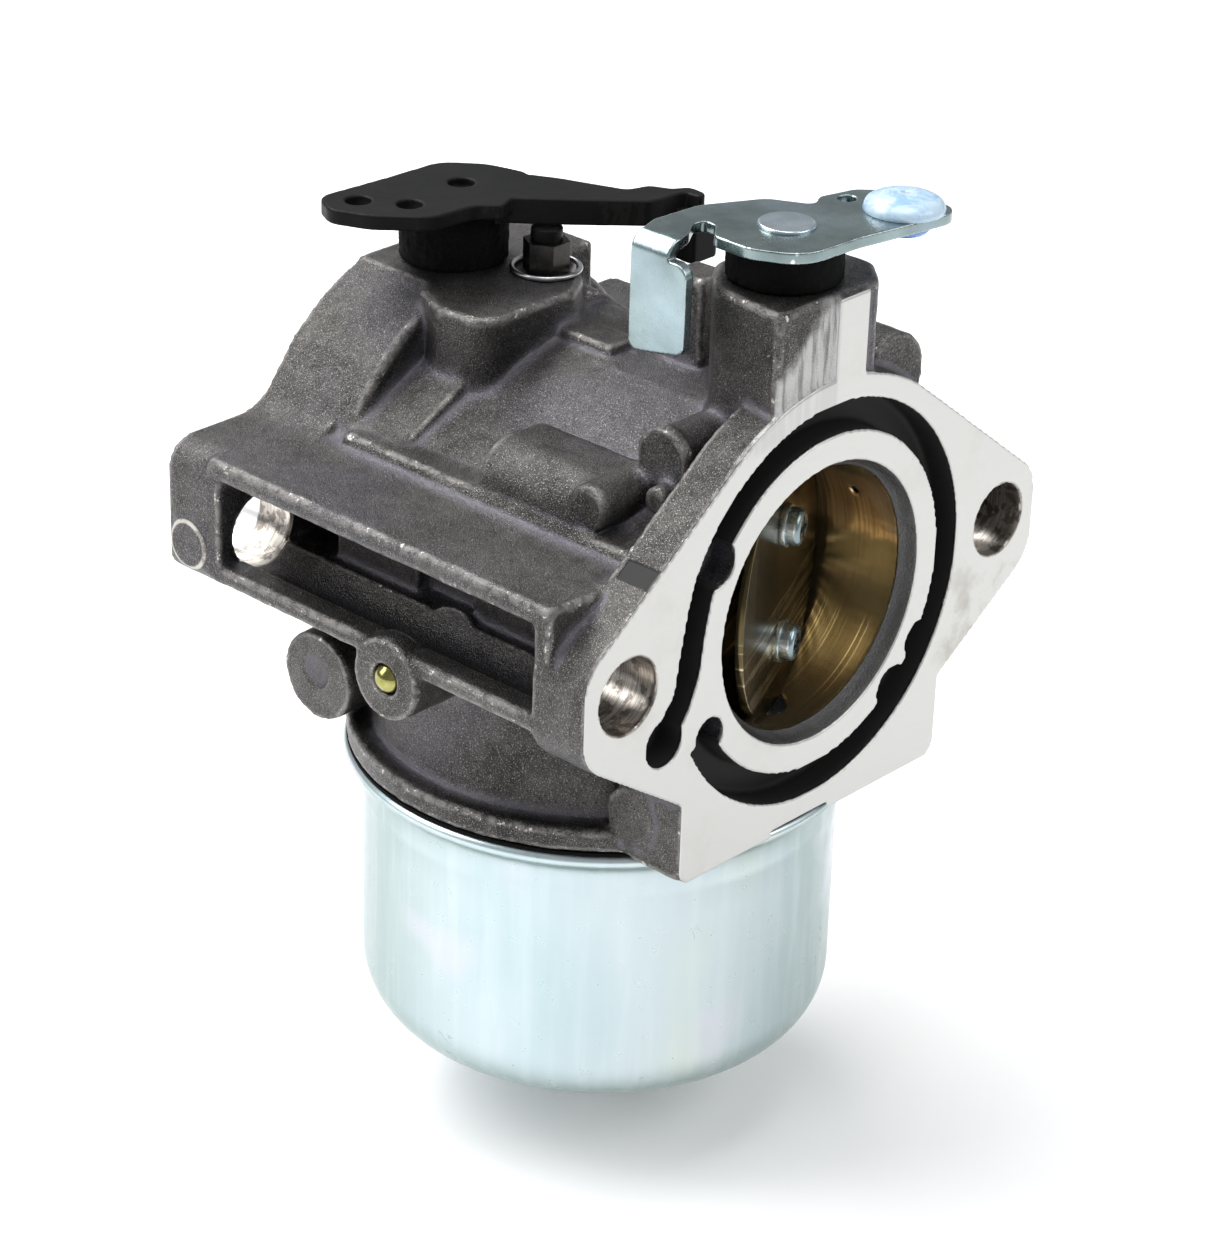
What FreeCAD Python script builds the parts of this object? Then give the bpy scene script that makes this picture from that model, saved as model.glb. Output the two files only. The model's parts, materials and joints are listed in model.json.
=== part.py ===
"""Float-bowl carburettor of a small single-cylinder engine.

Frame: the origin is the centre of the throttle bore on the engine flange's machined face.
+Y runs through the bore to the air-cleaner side, +Z is up, and +X is to the right seen from
the engine. All sizes are millimetres. The bowl hangs below on its own vertical axis.
"""

import FreeCAD
import Part
import math
import os

import Sketcher

Vector = FreeCAD.Vector
Rotation = FreeCAD.Rotation
Placement = FreeCAD.Placement

# ---------------------------------------------------------------------------
# Driving dimensions
# ---------------------------------------------------------------------------

SIZES = {
    # studs and ears: one long stud passes through each pair of ears
    "stud_spacing": 57.15,
    "stud_hole_radius": 4.0,
    "ear_half_width": 34.6,
    "body_length": 59.0,
    "rear_ear_front": 51.4,
    "rear_ear_top": 9.3,
    "rear_ear_drop": 5.2,
    # engine flange
    "flange_thickness": 7.0,
    "shoulder_thickness": 5.0,
    "flange_arc_radius": 24.0,
    "shoulder_angle": 52.8,
    "ear_corner_radius": 4.8,
    "ear_corner_drop": 5.7,
    "foot_half_width": 20.1,
    "foot_top_drop": 15.4,
    "foot_depth": 8.5,
    "flange_drop": 24.7,
    # gasket groove in the flange
    "groove_outer_radius": 21.5,
    "groove_inner_radius": 18.2,
    "groove_depth": 3.6,
    # air passage along +Y
    "mouth_radius": 15.1,
    "mouth_inner_radius": 14.35,
    "mouth_depth": 1.6,
    "throttle_bore_radius": 14.0,
    "throttle_bore_end": 15.5,
    "venturi_radius": 10.8,
    "venturi_start": 24.5,
    "venturi_end": 28.0,
    "choke_bore_radius": 16.0,
    "choke_bore_start": 43.5,
    "horn_mouth_radius": 17.6,
    "horn_mouth_start": 56.5,
    # outer casting
    "barrel_radius": 18.0,
    "drum_radius": 23.2,
    "drum_start": 46.0,
    "deck_height": 22.4,
    "deck_left": -8.0,
    "deck_right": 13.7,
    "deck_front": 45.0,
    "crown_height": 18.0,
    "core_half_width": 24.0,
    "core_end": 45.0,
    "web_top": 9.3,
    "web_underside": 7.0,
    "sill_top": -2.5,
    "sill_underside": -4.45,
    "block_top": 33.0,
    "post_top": 28.0,
    # bowl, cap and gasket, on the bowl axis
    "bowl_axis_offset": -1.7,
    "bowl_axis_depth": 27.75,
    "bowl_radius": 25.55,
    "bowl_rim_radius": 27.6,
    "bowl_wall": 0.8,
    "bowl_rim_top": -24.3,
    "bowl_bottom": -57.14,
    "bowl_corner_radius": 6.8,
    "gasket_thickness": 0.4,
    "cap_ring_radius": 27.3,
    "cap_ring_top": -21.4,
    "cap_neck_radius": 24.8,
    "cap_neck_top_radius": 22.6,
    "chamber_radius": 22.8,
    "chamber_ceiling": -17.5,
    "column_radius": 6.5,
    "column_bottom": -56.34,
    "column_thread_radius": 3.9,
    # bowl nut, its washer and the jets
    "nut_bottom": -66.6,
    "nut_flange_radius": 7.6,
    "nut_hex_across": 12.7,
    "nut_shank_top": -48.5,
    "nut_shank_radius": 3.85,
    "washer_thickness": 1.4,
    "washer_radius": 8.4,
    "nozzle_radius": 2.6,
    "nozzle_top": -4.0,
    # float and inlet valve
    "float_radius": 20.5,
    "float_hole_radius": 9.5,
    "float_top": -34.0,
    "float_bottom": -45.0,
    "float_pin_depth": 48.3,
    "float_pin_height": -25.8,
    "float_pin_radius": 0.8,
    "needle_depth": 42.3,
    "needle_radius": 1.52,
    "inlet_height": -17.5,
    "inlet_boss_face": 26.5,
    "inlet_pipe_radius": 3.2,
    "inlet_pipe_end": 40.0,
    # throttle
    "throttle_axis_depth": 7.2,
    "throttle_shaft_radius": 2.5,
    "throttle_shaft_bottom": -18.5,
    "throttle_rest_angle": 25.0,
    "throttle_plate_radius": 13.85,
    "throttle_plate_front": 5.8,
    "throttle_plate_thickness": 0.9,
    "plate_screw_height": 6.5,
    "lever_underside": 37.0,
    "lever_thickness": 1.2,
    "seal_radius": 5.8,
    "link_hole_x": 11.8,
    "link_hole_y": 2.2,
    # choke
    "choke_axis_depth": 52.5,
    "choke_shaft_radius": 3.0,
    "choke_shaft_bottom": -20.0,
    "choke_plate_radius": 15.8,
    "choke_plate_thickness": 1.0,
    "choke_lever_top": 30.5,
    "choke_lobe_thickness": 1.6,
    "choke_arm_thickness": 2.8,
    "felt_radius": 5.8,
    # idle mixture screw on the deck
    "mixture_x": 3.9,
    "mixture_y": 42.7,
    "mixture_hex_across": 4.4,
    "mixture_head_height": 3.4,
    # general fits
    "running_gap": 0.04,
    "end_gap": 0.2,
}

doc = FreeCAD.newDocument("carburettor")
sheet = doc.addObject("Spreadsheet::Sheet", "size")
for row, (alias, value) in enumerate(SIZES.items(), start=1):
    sheet.set(f"A{row}", alias)
    sheet.set(f"B{row}", str(value))
    sheet.setAlias(f"B{row}", alias)
doc.recompute()

made = {}


def mm(alias):
    """The present value of one cell of the size sheet."""
    return float(sheet.get(alias))


# ---------------------------------------------------------------------------
# Building helpers
# ---------------------------------------------------------------------------

TURN_TO = {
    "x": Rotation(Vector(0, 1, 0), 90),
    "y": Rotation(Vector(1, 0, 0), -90),
    "z": Rotation(),
}


def bind(item, **expressions):
    """Bind properties to expressions on the size sheet."""
    for name, text in expressions.items():
        item.setExpression(name, str(text))


def put_at(item, x, y, z):
    """Bind the place of an object."""
    for letter, text in zip("xyz", (x, y, z)):
        item.setExpression("Placement.Base." + letter, str(text))


def box(name, x, y, z):
    """A block between three pairs of limits, each given as an expression."""
    item = doc.addObject("Part::Box", name)
    bind(item, Length=f"({x[1]}) - ({x[0]})", Width=f"({y[1]}) - ({y[0]})", Height=f"({z[1]}) - ({z[0]})")
    put_at(item, x[0], y[0], z[0])
    return item


def rod(name, axis, start, end_or_length, radius, centre):
    """A cylinder along an axis; centre gives its two other coordinates in X, Y, Z order."""
    item = doc.addObject("Part::Cylinder", name)
    item.Placement = Placement(Vector(), TURN_TO[axis])
    bind(item, Radius=radius, Height=f"({end_or_length}) - ({start})")
    place = list(centre)
    place.insert("xyz".index(axis), start)
    put_at(item, *place)
    return item


def bowl_rod(name, bottom, top, radius):
    """A cylinder standing on the bowl axis."""
    return rod(name, "z", bottom, top, radius, ("size.bowl_axis_offset", "size.bowl_axis_depth"))


def join(name, parts):
    item = doc.addObject("Part::MultiFuse", name)
    item.Shapes = parts
    return item


def cut(name, base, tools):
    """Take one tool, or several joined, out of a base."""
    tool = tools[0] if len(tools) == 1 else join(name + "_tools", tools)
    item = doc.addObject("Part::Cut", name)
    item.Base = base
    item.Tool = tool
    return item


def round_edges(name, source, radius, wanted):
    """Fillet the edges of a source that the test wanted(edge) picks."""
    doc.recompute()
    picked = [(i, radius, radius) for i, edge in enumerate(source.Shape.Edges, start=1) if wanted(edge)]
    item = doc.addObject("Part::Fillet", name)
    item.Base = source
    item.Edges = picked
    return item


def soft_box(name, x, y, z, radius):
    """A block with all its edges rounded, as on a casting."""
    return round_edges(name, box(name + "_block", x, y, z), radius, lambda edge: True)


def origin_plane(body, role):
    for feature in body.Origin.OriginFeatures:
        if feature.Role == role:
            return feature
    raise ValueError(role)


def rounded_outline(corners):
    """Lines and arcs round a closed polygon of (x, y, corner radius) points."""
    count = len(corners)
    runs = []
    for i, (px, py, radius) in enumerate(corners):
        before = Vector(*corners[i - 1][:2], 0)
        here = Vector(px, py, 0)
        after = Vector(*corners[(i + 1) % count][:2], 0)
        inward = (before - here).normalize()
        onward = (after - here).normalize()
        half = inward.getAngle(onward) / 2
        reach = radius / math.tan(half) if radius else 0
        longest = 0.48 * min((before - here).Length, (after - here).Length)
        if reach > longest:
            reach = longest
            radius = reach * math.tan(half)
        if reach < 0.01:
            runs.append((here, here, here, 0))
            continue
        start = here + inward * reach
        end = here + onward * reach
        middle_way = (inward + onward).normalize()
        centre = here + middle_way * (radius / math.sin(half))
        crest = centre - middle_way * radius
        runs.append((start, crest, end, radius))
    shapes = []
    for i, (start, crest, end, radius) in enumerate(runs):
        if radius:
            shapes.append(Part.Arc(start, crest, end))
        nearest = runs[(i + 1) % count][0]
        if (nearest - end).Length > 1e-6:
            shapes.append(Part.LineSegment(end, nearest))
    return shapes


def sketch_in(body, role, offset, geometry):
    """A sketch on one of the body's own origin planes."""
    sketch = body.newObject("Sketcher::SketchObject", body.Name + "_sketch")
    sketch.AttachmentSupport = [(origin_plane(body, role), "")]
    sketch.MapMode = "FlatFace"
    bind(sketch, **{"AttachmentOffset.Base.z": offset})
    sketch.addGeometry(geometry, False)
    return sketch


def slab(name, role, start, end, corners, holes=(), soften=0.0):
    """A plate of any outline, padded from start to end along the plane's +X, +Y or +Z.

    Holes are (x, y, radius) circles in the plane's own coordinates.
    """
    body = doc.addObject("PartDesign::Body", name)
    geometry = rounded_outline(corners)
    for hole_x, hole_y, radius in holes:
        geometry.append(Part.Circle(Vector(hole_x, hole_y, 0), Vector(0, 0, 1), radius))
    backwards = role == "XZ_Plane"
    offset = f"-({start})" if backwards else start
    sketch = sketch_in(body, role, offset, geometry)
    pad = body.newObject("PartDesign::Pad", name + "_pad")
    pad.Profile = sketch
    pad.Reversed = backwards
    bind(pad, Length=f"({end}) - ({start})")
    if soften:
        doc.recompute()
        soft = body.newObject("PartDesign::Fillet", name + "_soft")
        soft.Base = (pad, [f"Edge{i}" for i in range(1, len(pad.Shape.Edges) + 1)])
        soft.Radius = soften
    return body


def turned(name, role, outline, centre=(0, 0, 0)):
    """A turned piece: the outline's first coordinate is the radius, its second the height."""
    body = doc.addObject("PartDesign::Body", name)
    points = [Vector(radius, height, 0) for radius, height in outline]
    edges = [Part.LineSegment(a, b) for a, b in zip(points, points[1:] + points[:1])]
    sketch = sketch_in(body, role, "0", edges)
    spin = body.newObject("PartDesign::Revolution", name + "_turn")
    spin.Profile = sketch
    spin.ReferenceAxis = (sketch, ["V_Axis"])
    spin.Angle = 360
    put_at(body, *centre)
    return body


def hexagon(name, across, bottom, top, centre):
    """A hexagonal bar standing on its end."""
    bar = doc.addObject("Part::Prism", name)
    bar.Polygon = 6
    bind(bar, Circumradius=f"({across}) / sqrt(3)", Height=f"({top}) - ({bottom})")
    put_at(bar, centre[0], centre[1], bottom)
    return bar


def piece(item, node):
    """Name a finished sub-part."""
    item.Label = node
    made[node] = item


# ---------------------------------------------------------------------------
# Casting: throttle body, air horn and bowl cap in one piece
# ---------------------------------------------------------------------------

HALF_STUDS = "size.stud_spacing / 2"
BOWL_CENTRE = ("size.bowl_axis_offset", "size.bowl_axis_depth")
NEEDLE_CENTRE = ("size.bowl_axis_offset", "size.needle_depth")
INLET_AXIS = ("size.needle_depth", "size.inlet_height")
THROTTLE_CENTRE = ("0", "size.throttle_axis_depth")
CHOKE_CENTRE = ("0", "size.choke_axis_depth")
MIXTURE_CENTRE = ("size.mixture_x", "size.mixture_y")


def both_sides(corners):
    """Add the mirror image of a right-hand outline, which runs from the top to the bottom."""
    mirrored = [(-x, z, radius) for x, z, radius in reversed(corners) if x]
    return corners + mirrored


def flange_parts():
    """Engine flange, its foot, the throttle shaft block and the machined strip on it."""
    slope = math.radians(mm("shoulder_angle"))
    arc = mm("flange_arc_radius")
    half = mm("ear_half_width")
    foot = mm("foot_half_width")
    corner = mm("ear_corner_radius")
    right = [
        (0, arc / math.sin(slope), arc),
        (half, (arc - half * math.cos(slope)) / math.sin(slope), corner),
        (half, -mm("ear_corner_drop"), corner),
        (foot, -mm("foot_top_drop"), 0.8),
        (foot, -mm("flange_drop"), 1.8),
    ]
    plate = slab("flange_plate", "XZ_Plane", "0", "size.shoulder_thickness", both_sides(right))
    backing_top = mm("web_top")
    edge = (arc - backing_top * math.sin(slope)) / math.cos(slope)
    backing = slab("flange_backing", "XZ_Plane", "1", "size.flange_thickness",
                   both_sides([(edge, backing_top, 0)] + right[1:]))
    rail_end = slab("rail_end", "XZ_Plane", "4.8", "size.flange_thickness", [
        (-half, -2, 0), (-24, -2, 0), (-24, mm("web_top"), 0), (-half, mm("web_top"), 0.6)], soften=0.4)
    foot_block = box("flange_foot", ("-size.foot_half_width", "size.foot_half_width"),
                     ("0.4", "size.foot_depth"), ("-size.flange_drop + 0.6", "-size.foot_top_drop - 0.5"))
    pads = []
    for side, sign in (("left", -1), ("right", 1)):
        inner = f"{sign} * (size.foot_half_width - 1)"
        outer = f"{sign} * (size.foot_half_width + 0.3)"
        low, high = (outer, inner) if sign < 0 else (inner, outer)
        pads.append(rod("foot_pad_" + side, "x", low, high, "3.1", ("6.9", "-19.3")))
    block = slab("shaft_block", "XY_Plane", "12", "size.block_top", [
        (-8.5, 0.35, 0.5), (4.8, 0.35, 0.3), (6.3, 0.35, 1.0), (9.4, 3.6, 1.5), (9.4, 11.6, 3.0),
        (5.4, 15.0, 3.0), (-2.6, 14.2, 3.5), (-7.4, 9.6, 2.0)], soften=0.6)
    strip = box("machined_strip", ("0.2", "4.6"), ("0", "2"), ("20", "32.4"))
    return [plate, backing, rail_end, foot_block, block, strip] + pads


def barrel_parts():
    """Venturi barrel with its sloping roof, side channels and the ledges along them."""
    barrel = rod("barrel", "y", "3", "47", "size.barrel_radius", ("0", "0"))
    roof = slab("roof", "XZ_Plane", "5", "47", [
        (-23.6, 6.5, 0), (-22.4, 9.2, 0.6), (-2.6, mm("crown_height"), 1.0), (8.5, 18.7, 2.0),
        (22.4, 9.2, 1.5), (23.6, 6.5, 0)])
    raised_roof = slab("raised_roof", "XZ_Plane", "39.0", "47", [
        (-21.5, 6.5, 0), (-21.0, 10.4, 1.0), (-3.0, 19.9, 1.0), (8.5, 20.0, 2.0),
        (21.0, 10.4, 1.5), (21.5, 6.5, 0)])
    ledge = soft_box("roof_ledge", ("-22.6", "-12"), ("4", "46"), ("6", "10.7"), 0.8)
    core = box("core", ("-size.core_half_width", "size.core_half_width"), ("5", "size.core_end"),
               ("size.sill_underside", "size.web_underside + 1"))
    half = mm("ear_half_width")
    back = mm("rear_ear_front") + 2
    web = slab("top_web", "XY_Plane", "size.web_underside", "size.web_top", [
        (-27.5, 4, 0), (-half, 5, 0.6), (-half, back, 0.6), (half, back, 0.6), (half, 19, 3),
        (27.5, 5, 1)], soften=0.75)
    sill = soft_box("sill", ("-size.ear_half_width", "size.ear_half_width"),
                    ("4", "size.rear_ear_front + 2"), ("size.sill_underside", "size.sill_top"), 0.5)
    return [barrel, roof, raised_roof, ledge, core, web, sill]


def horn_parts():
    """Air horn drum at the back, its ears, the deck on top and the tower in front of it."""
    drum_block = rod("drum_block", "y", "size.drum_start", "size.body_length", "size.drum_radius", ("0", "0"))
    front_rim = mm("drum_start") + 0.01
    rounded_drum = round_edges("rounded_drum", drum_block, 0.9, lambda edge: edge.BoundBox.YMax < front_rim)
    crest = box("drum_crest", ("-9", "9"), ("size.drum_start - 1", "size.body_length + 1"),
                ("size.deck_height", "26"))
    drum = cut("drum", rounded_drum, [crest])
    half = mm("ear_half_width")
    ears = slab("rear_ears", "XZ_Plane", "size.rear_ear_front", "size.body_length", [
        (-half, -mm("rear_ear_drop"), 2.0), (half, -mm("rear_ear_drop"), 2.0),
        (half, mm("rear_ear_top"), 3.2), (-half, mm("rear_ear_top"), 3.2)])
    blends = []
    ear_top = mm("rear_ear_top")
    for side, sign in (("left", -1), ("right", 1)):
        corner = [(sign * 17, 16, 0), (sign * 17, 7, 0), (sign * 28.5, 7, 0), (sign * 28.5, ear_top, 0),
                  (sign * 22, ear_top + 0.2, 5.5)]
        blends.append(slab("ear_blend_" + side, "XZ_Plane", "48.5", "size.body_length", corner))
    deck = soft_box("deck", ("size.deck_left", "size.deck_right"), ("size.deck_front", "size.body_length"),
                    ("12", "size.deck_height"), 0.5)
    tower = slab("tower", "XY_Plane", "9", "size.deck_height", [
        (-11.6, 36.3, 3.2), (1.5, 36.2, 1.6), (5.6, 38.8, 1.6), (5.9, 41.0, 1.0), (8.4, 42.4, 1.0),
        (8.4, 48, 0.8), (-9.6, 48, 0.8), (-11.9, 43.0, 1.6)], soften=0.55)
    return [drum, ears, deck, tower] + blends


def boss_parts():
    """Cast bosses round the idle passages, the lever stop and the fuel inlet."""
    lump = slab("passage_lump", "XZ_Plane", "13.4", "27.2", [
        (-22.1, 5, 0), (-21.9, 15.4, 4.2), (-12.6, 15.3, 1.6), (-11.0, 11.0, 0), (-11.0, 5, 0)], soften=0.7)
    stub = rod("passage_stub", "x", "-21.7", "-10", "2.35", ("12.4", "13.2"))
    drilling = rod("drilling_boss", "x", "-13.9", "0", "2.9", ("9.0", "17.4"))
    drilling_end = rod("drilling_end", "x", "-15", "-13.7", "3.25", ("9.0", "17.4"))
    spigot = rod("spigot", "x", "-17.4", "-8", "1.4", ("7.6", "14.2"))
    pad = soft_box("crown_pad", ("-1.3", "3.1"), ("28.4", "38.4"), ("14", "19.3"), 0.45)
    post = soft_box("crown_post", ("2.4", "7.0"), ("19.6", "24.5"), ("14", "size.post_top"), 0.5)
    shoulder = rod("shoulder_boss", "y", "3", "12", "4.5", ("13.2", "19.9"))
    ball_boss = rod("ball_boss", "x", "-35", "-20", "4.4", ("26.7", "-5.95"))
    blank_boss = rod("blank_boss", "x", "-26", "-12", "4.9", ("46.2", "-16.2"))
    inlet_boss = rod("inlet_boss", "x", "12", "size.inlet_boss_face", "4.2", INLET_AXIS)
    discs = []
    for side, sign in (("left", -1), ("right", 1)):
        inner = f"{sign} * (size.ear_half_width - 1)"
        outer = f"{sign} * (size.ear_half_width + 0.4)"
        low, high = (outer, inner) if sign < 0 else (inner, outer)
        discs.append(rod("ear_disc_" + side, "x", low, high, "2.6", ("55.9", "-1.3")))
    fittings = [lump, stub, drilling, drilling_end, spigot, pad, post, shoulder]
    return fittings + [ball_boss, blank_boss, inlet_boss] + discs


def cap_parts():
    """The bowl cap: a flat ring over the gasket and a conical neck up to the barrel."""
    ring_bottom = "size.bowl_rim_top + size.gasket_thickness"
    ring_block = bowl_rod("cap_ring_block", ring_bottom, "size.cap_ring_top", "size.cap_ring_radius")
    top = mm("cap_ring_top") - 0.01
    ring = round_edges("cap_ring", ring_block, 0.5, lambda edge: edge.BoundBox.ZMin > top)
    neck = doc.addObject("Part::Cone", "cap_neck")
    bind(neck, Radius1="size.cap_neck_radius", Radius2="size.cap_neck_top_radius",
         Height="size.sill_top - size.cap_ring_top")
    put_at(neck, *BOWL_CENTRE, "size.cap_ring_top")
    return [ring, neck]


def chamber_fill():
    """What stands inside the bowl cap: centre column, hinge posts and the inlet rib."""
    column = bowl_rod("column", "size.column_bottom", "-15", "size.column_radius")
    rib = box("inlet_rib", ("-5.5", "22"), ("size.needle_depth - 3.4", "size.needle_depth + 3.2"),
              ("-20.5", "-16.5"))
    seat_boss = rod("seat_boss", "z", "-22.6", "-16", "4.3", NEEDLE_CENTRE)
    throttle_end = rod("throttle_end_boss", "z", "size.throttle_shaft_bottom - 2", "-15", "4.2",
                       THROTTLE_CENTRE)
    choke_end = rod("choke_end_boss", "z", "size.choke_shaft_bottom - 1.6", "-15", "4.6", CHOKE_CENTRE)
    fill = [column, rib, seat_boss, throttle_end, choke_end]
    for side, sign in (("left", -1), ("right", 1)):
        near = f"size.bowl_axis_offset + {sign} * 6.6"
        far = f"size.bowl_axis_offset + {sign} * 8.6"
        low, high = (far, near) if sign < 0 else (near, far)
        fill.append(box("hinge_post_" + side, (low, high),
                        ("size.float_pin_depth - 1.6", "size.float_pin_depth + 1.6"),
                        ("size.float_pin_height - 1.6", "-16.5")))
    return fill


def air_passage():
    """The whole way for the air: flange mouth, throttle bore, venturi, choke bore and horn mouth."""
    length = mm("body_length")
    outline = [
        (0, -1), (mm("mouth_radius"), -1), (mm("mouth_radius"), 0),
        (mm("mouth_inner_radius"), mm("mouth_depth")), (mm("throttle_bore_radius"), mm("mouth_depth")),
        (mm("throttle_bore_radius"), mm("throttle_bore_end")), (mm("venturi_radius"), mm("venturi_start")),
        (mm("venturi_radius"), mm("venturi_end")), (mm("choke_bore_radius"), mm("choke_bore_start")),
        (mm("choke_bore_radius"), mm("horn_mouth_start")), (mm("horn_mouth_radius"), length),
        (mm("horn_mouth_radius"), length + 1), (0, length + 1)]
    return turned("air_passage", "XY_Plane", outline)


def groove_tools():
    """The C-shaped gasket groove: most of a ring, its bulges and a tail beside the left stud."""
    inner = mm("groove_inner_radius")
    outer = mm("groove_outer_radius")
    start = math.radians(-153)
    end = math.radians(149)

    def at(radius, angle):
        return Vector(radius * math.cos(angle), radius * math.sin(angle), 0)

    middle = (start + end) / 2
    edges = [
        Part.Arc(at(outer, start), at(outer, middle), at(outer, end)),
        Part.LineSegment(at(outer, end), at(inner, end)),
        Part.Arc(at(inner, end), at(inner, middle), at(inner, start)),
        Part.LineSegment(at(inner, start), at(outer, start)),
    ]
    body = doc.addObject("PartDesign::Body", "groove_ring")
    pad = body.newObject("PartDesign::Pad", "groove_ring_pad")
    pad.Profile = sketch_in(body, "XZ_Plane", "1", edges)
    pad.Reversed = True
    bind(pad, Length="size.groove_depth + 1")
    tail = slab("groove_tail", "XZ_Plane", "-1", "size.groove_depth", [
        (-17.8, 11.2, 0.5), (-15.6, 9.0, 0.5), (-16.9, 6.6, 3), (-17.8, 2.4, 6), (-18.3, -1.4, 5),
        (-19.6, -4.6, 3), (-21.4, -7.2, 0.5), (-24.4, -5.4, 0.5), (-21.9, -2.4, 2.5), (-21.3, 1.0, 5),
        (-20.2, 6.6, 6), (-19.2, 9.8, 1.5)])
    bulges = []
    places = [(-16.3, 9.7, 2.55), (16.4, -9.8, 2.25), (12.4, -14.0, 2.45), (-16.4, -8.9, 2.0),
              (-23.1, -7.1, 2.6)]
    for number, (x, z, radius) in enumerate(places, start=1):
        bulges.append(rod(f"groove_bulge_{number}", "y", "-1", "size.groove_depth", radius, (x, z)))
    return [body, tail] + bulges


def drillings():
    """Stud holes, shaft bores, fuel ways and the small drillings."""
    tools = []
    for side, sign in (("left", "-"), ("right", "")):
        tools.append(rod("stud_hole_" + side, "y", "-1", "size.body_length + 1", "size.stud_hole_radius",
                         (sign + HALF_STUDS, "0")))
    shafts = (("throttle", "size.block_top", THROTTLE_CENTRE), ("choke", "size.deck_height", CHOKE_CENTRE))
    for shaft, top, centre in shafts:
        tools.append(rod(shaft + "_shaft_bore", "z", f"size.{shaft}_shaft_bottom - size.end_gap", top + " + 1",
                         f"size.{shaft}_shaft_radius + size.running_gap", centre))
    tools.append(bowl_rod("column_thread", "size.column_bottom - 1", "-47", "size.column_thread_radius"))
    tools.append(bowl_rod("nozzle_bore", "-48", "-5", "size.nozzle_radius"))
    tools.append(rod("inlet_way", "x", "size.bowl_axis_offset - 1.2", "size.inlet_boss_face + 1", "1.2",
                     INLET_AXIS))
    tools.append(rod("inlet_pipe_seat", "x", "size.inlet_boss_face - 5", "size.inlet_boss_face + 1", "2.6",
                     INLET_AXIS))
    tools.append(rod("valve_seat_bore", "z", "-23", "-18.2", "2.6", NEEDLE_CENTRE))
    tools.append(rod("hinge_pin_bore", "x", "size.bowl_axis_offset - 8.8", "size.bowl_axis_offset + 8.8",
                     "size.float_pin_radius", ("size.float_pin_depth", "size.float_pin_height")))
    tools.append(rod("ball_hole", "x", "-36", "-22", "1.65", ("26.7", "-5.95")))
    tools.append(rod("blank_boss_dent", "x", "-27", "-25.5", "2.0", ("46.6", "-15.6")))
    tools.append(rod("mixture_bore", "z", "17.2", "size.deck_height + 1", "1.5", MIXTURE_CENTRE))
    for name, x in (("main_air_bore", "-13.8"), ("idle_air_bore", "13.8")):
        tools.append(rod(name, "y", "size.body_length - 4", "size.body_length + 1", "1.3", (x, "13.8")))
    tools.append(rod("idle_port", "x", "12", "17", "0.5", ("6.8", "6.3")))
    return tools


def reliefs():
    """The pockets in the side channels and the space that the bowl's rim needs."""
    tools = [bowl_rod("rim_space", "size.bowl_rim_top - 3", "size.bowl_rim_top + size.gasket_thickness",
                      "size.bowl_rim_radius + 0.5")]
    level = ("size.sill_top", "size.web_underside")
    for side, sign in (("left", -1), ("right", 1)):
        spans = [("channel_pocket_", 22.4, 24.5, "25.4", "33.2"),
                 ("channel_end_", 18.6, 24.5, "45", "size.rear_ear_front")]
        for name, near, far, start, end in spans:
            low, high = sorted((sign * near, sign * far))
            tools.append(box(name + side, (low, high), (start, end), level))
    return tools


def carb_body():
    solids = flange_parts() + barrel_parts() + horn_parts() + boss_parts() + cap_parts()
    outside = join("casting_outside", solids)
    chamber = bowl_rod("chamber", "size.bowl_rim_top - 1", "size.chamber_ceiling", "size.chamber_radius")
    hollow = cut("casting_hollow", outside, [chamber, *reliefs()])
    filled = join("casting_filled", [hollow] + chamber_fill())
    piece(cut("casting", filled, [air_passage()] + groove_tools() + drillings()), "carb_body")


# ---------------------------------------------------------------------------
# Bowl, its fixing and the main jet
# ---------------------------------------------------------------------------

def bowl_shell():
    """Pressed steel cup with a rolled rim and a hole for the bowl nut."""
    outer = mm("bowl_radius")
    wall = mm("bowl_wall")
    top = mm("bowl_rim_top")
    bottom = mm("bowl_bottom")
    bend = mm("bowl_corner_radius")
    rim = mm("bowl_rim_radius")
    hole = 4.0

    def bend_points(radius, centre_r, centre_z):
        steps = 8
        angles = [math.radians(90 * i / steps) for i in range(steps + 1)]
        return [(centre_r + radius * math.cos(a), centre_z - radius * math.sin(a)) for a in angles]

    centre_r = outer - bend
    centre_z = bottom + bend
    outside = [(outer - wall, top), (rim - 0.35, top), (rim, top - 0.35), (rim, top - 1.5),
               (rim - 0.5, top - 2.0), (outer + 0.5, top - 2.3), (outer, top - 3.0)]
    outside += bend_points(bend, centre_r, centre_z)
    inside = bend_points(bend - wall, centre_r, centre_z)
    outline = outside + [(hole, bottom), (hole, bottom + wall)] + inside[::-1]
    piece(turned("bowl", "XZ_Plane", outline, (*BOWL_CENTRE, "0")), "float_bowl")


def gasket():
    top = "size.bowl_rim_top + size.gasket_thickness"
    outer = bowl_rod("gasket_disc", "size.bowl_rim_top", top, "size.cap_ring_radius")
    inner = bowl_rod("gasket_hole", "size.bowl_rim_top - 1", "size.bowl_rim_top + 1", "size.chamber_radius + 1")
    piece(cut("gasket", outer, [inner]), "bowl_gasket")


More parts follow.
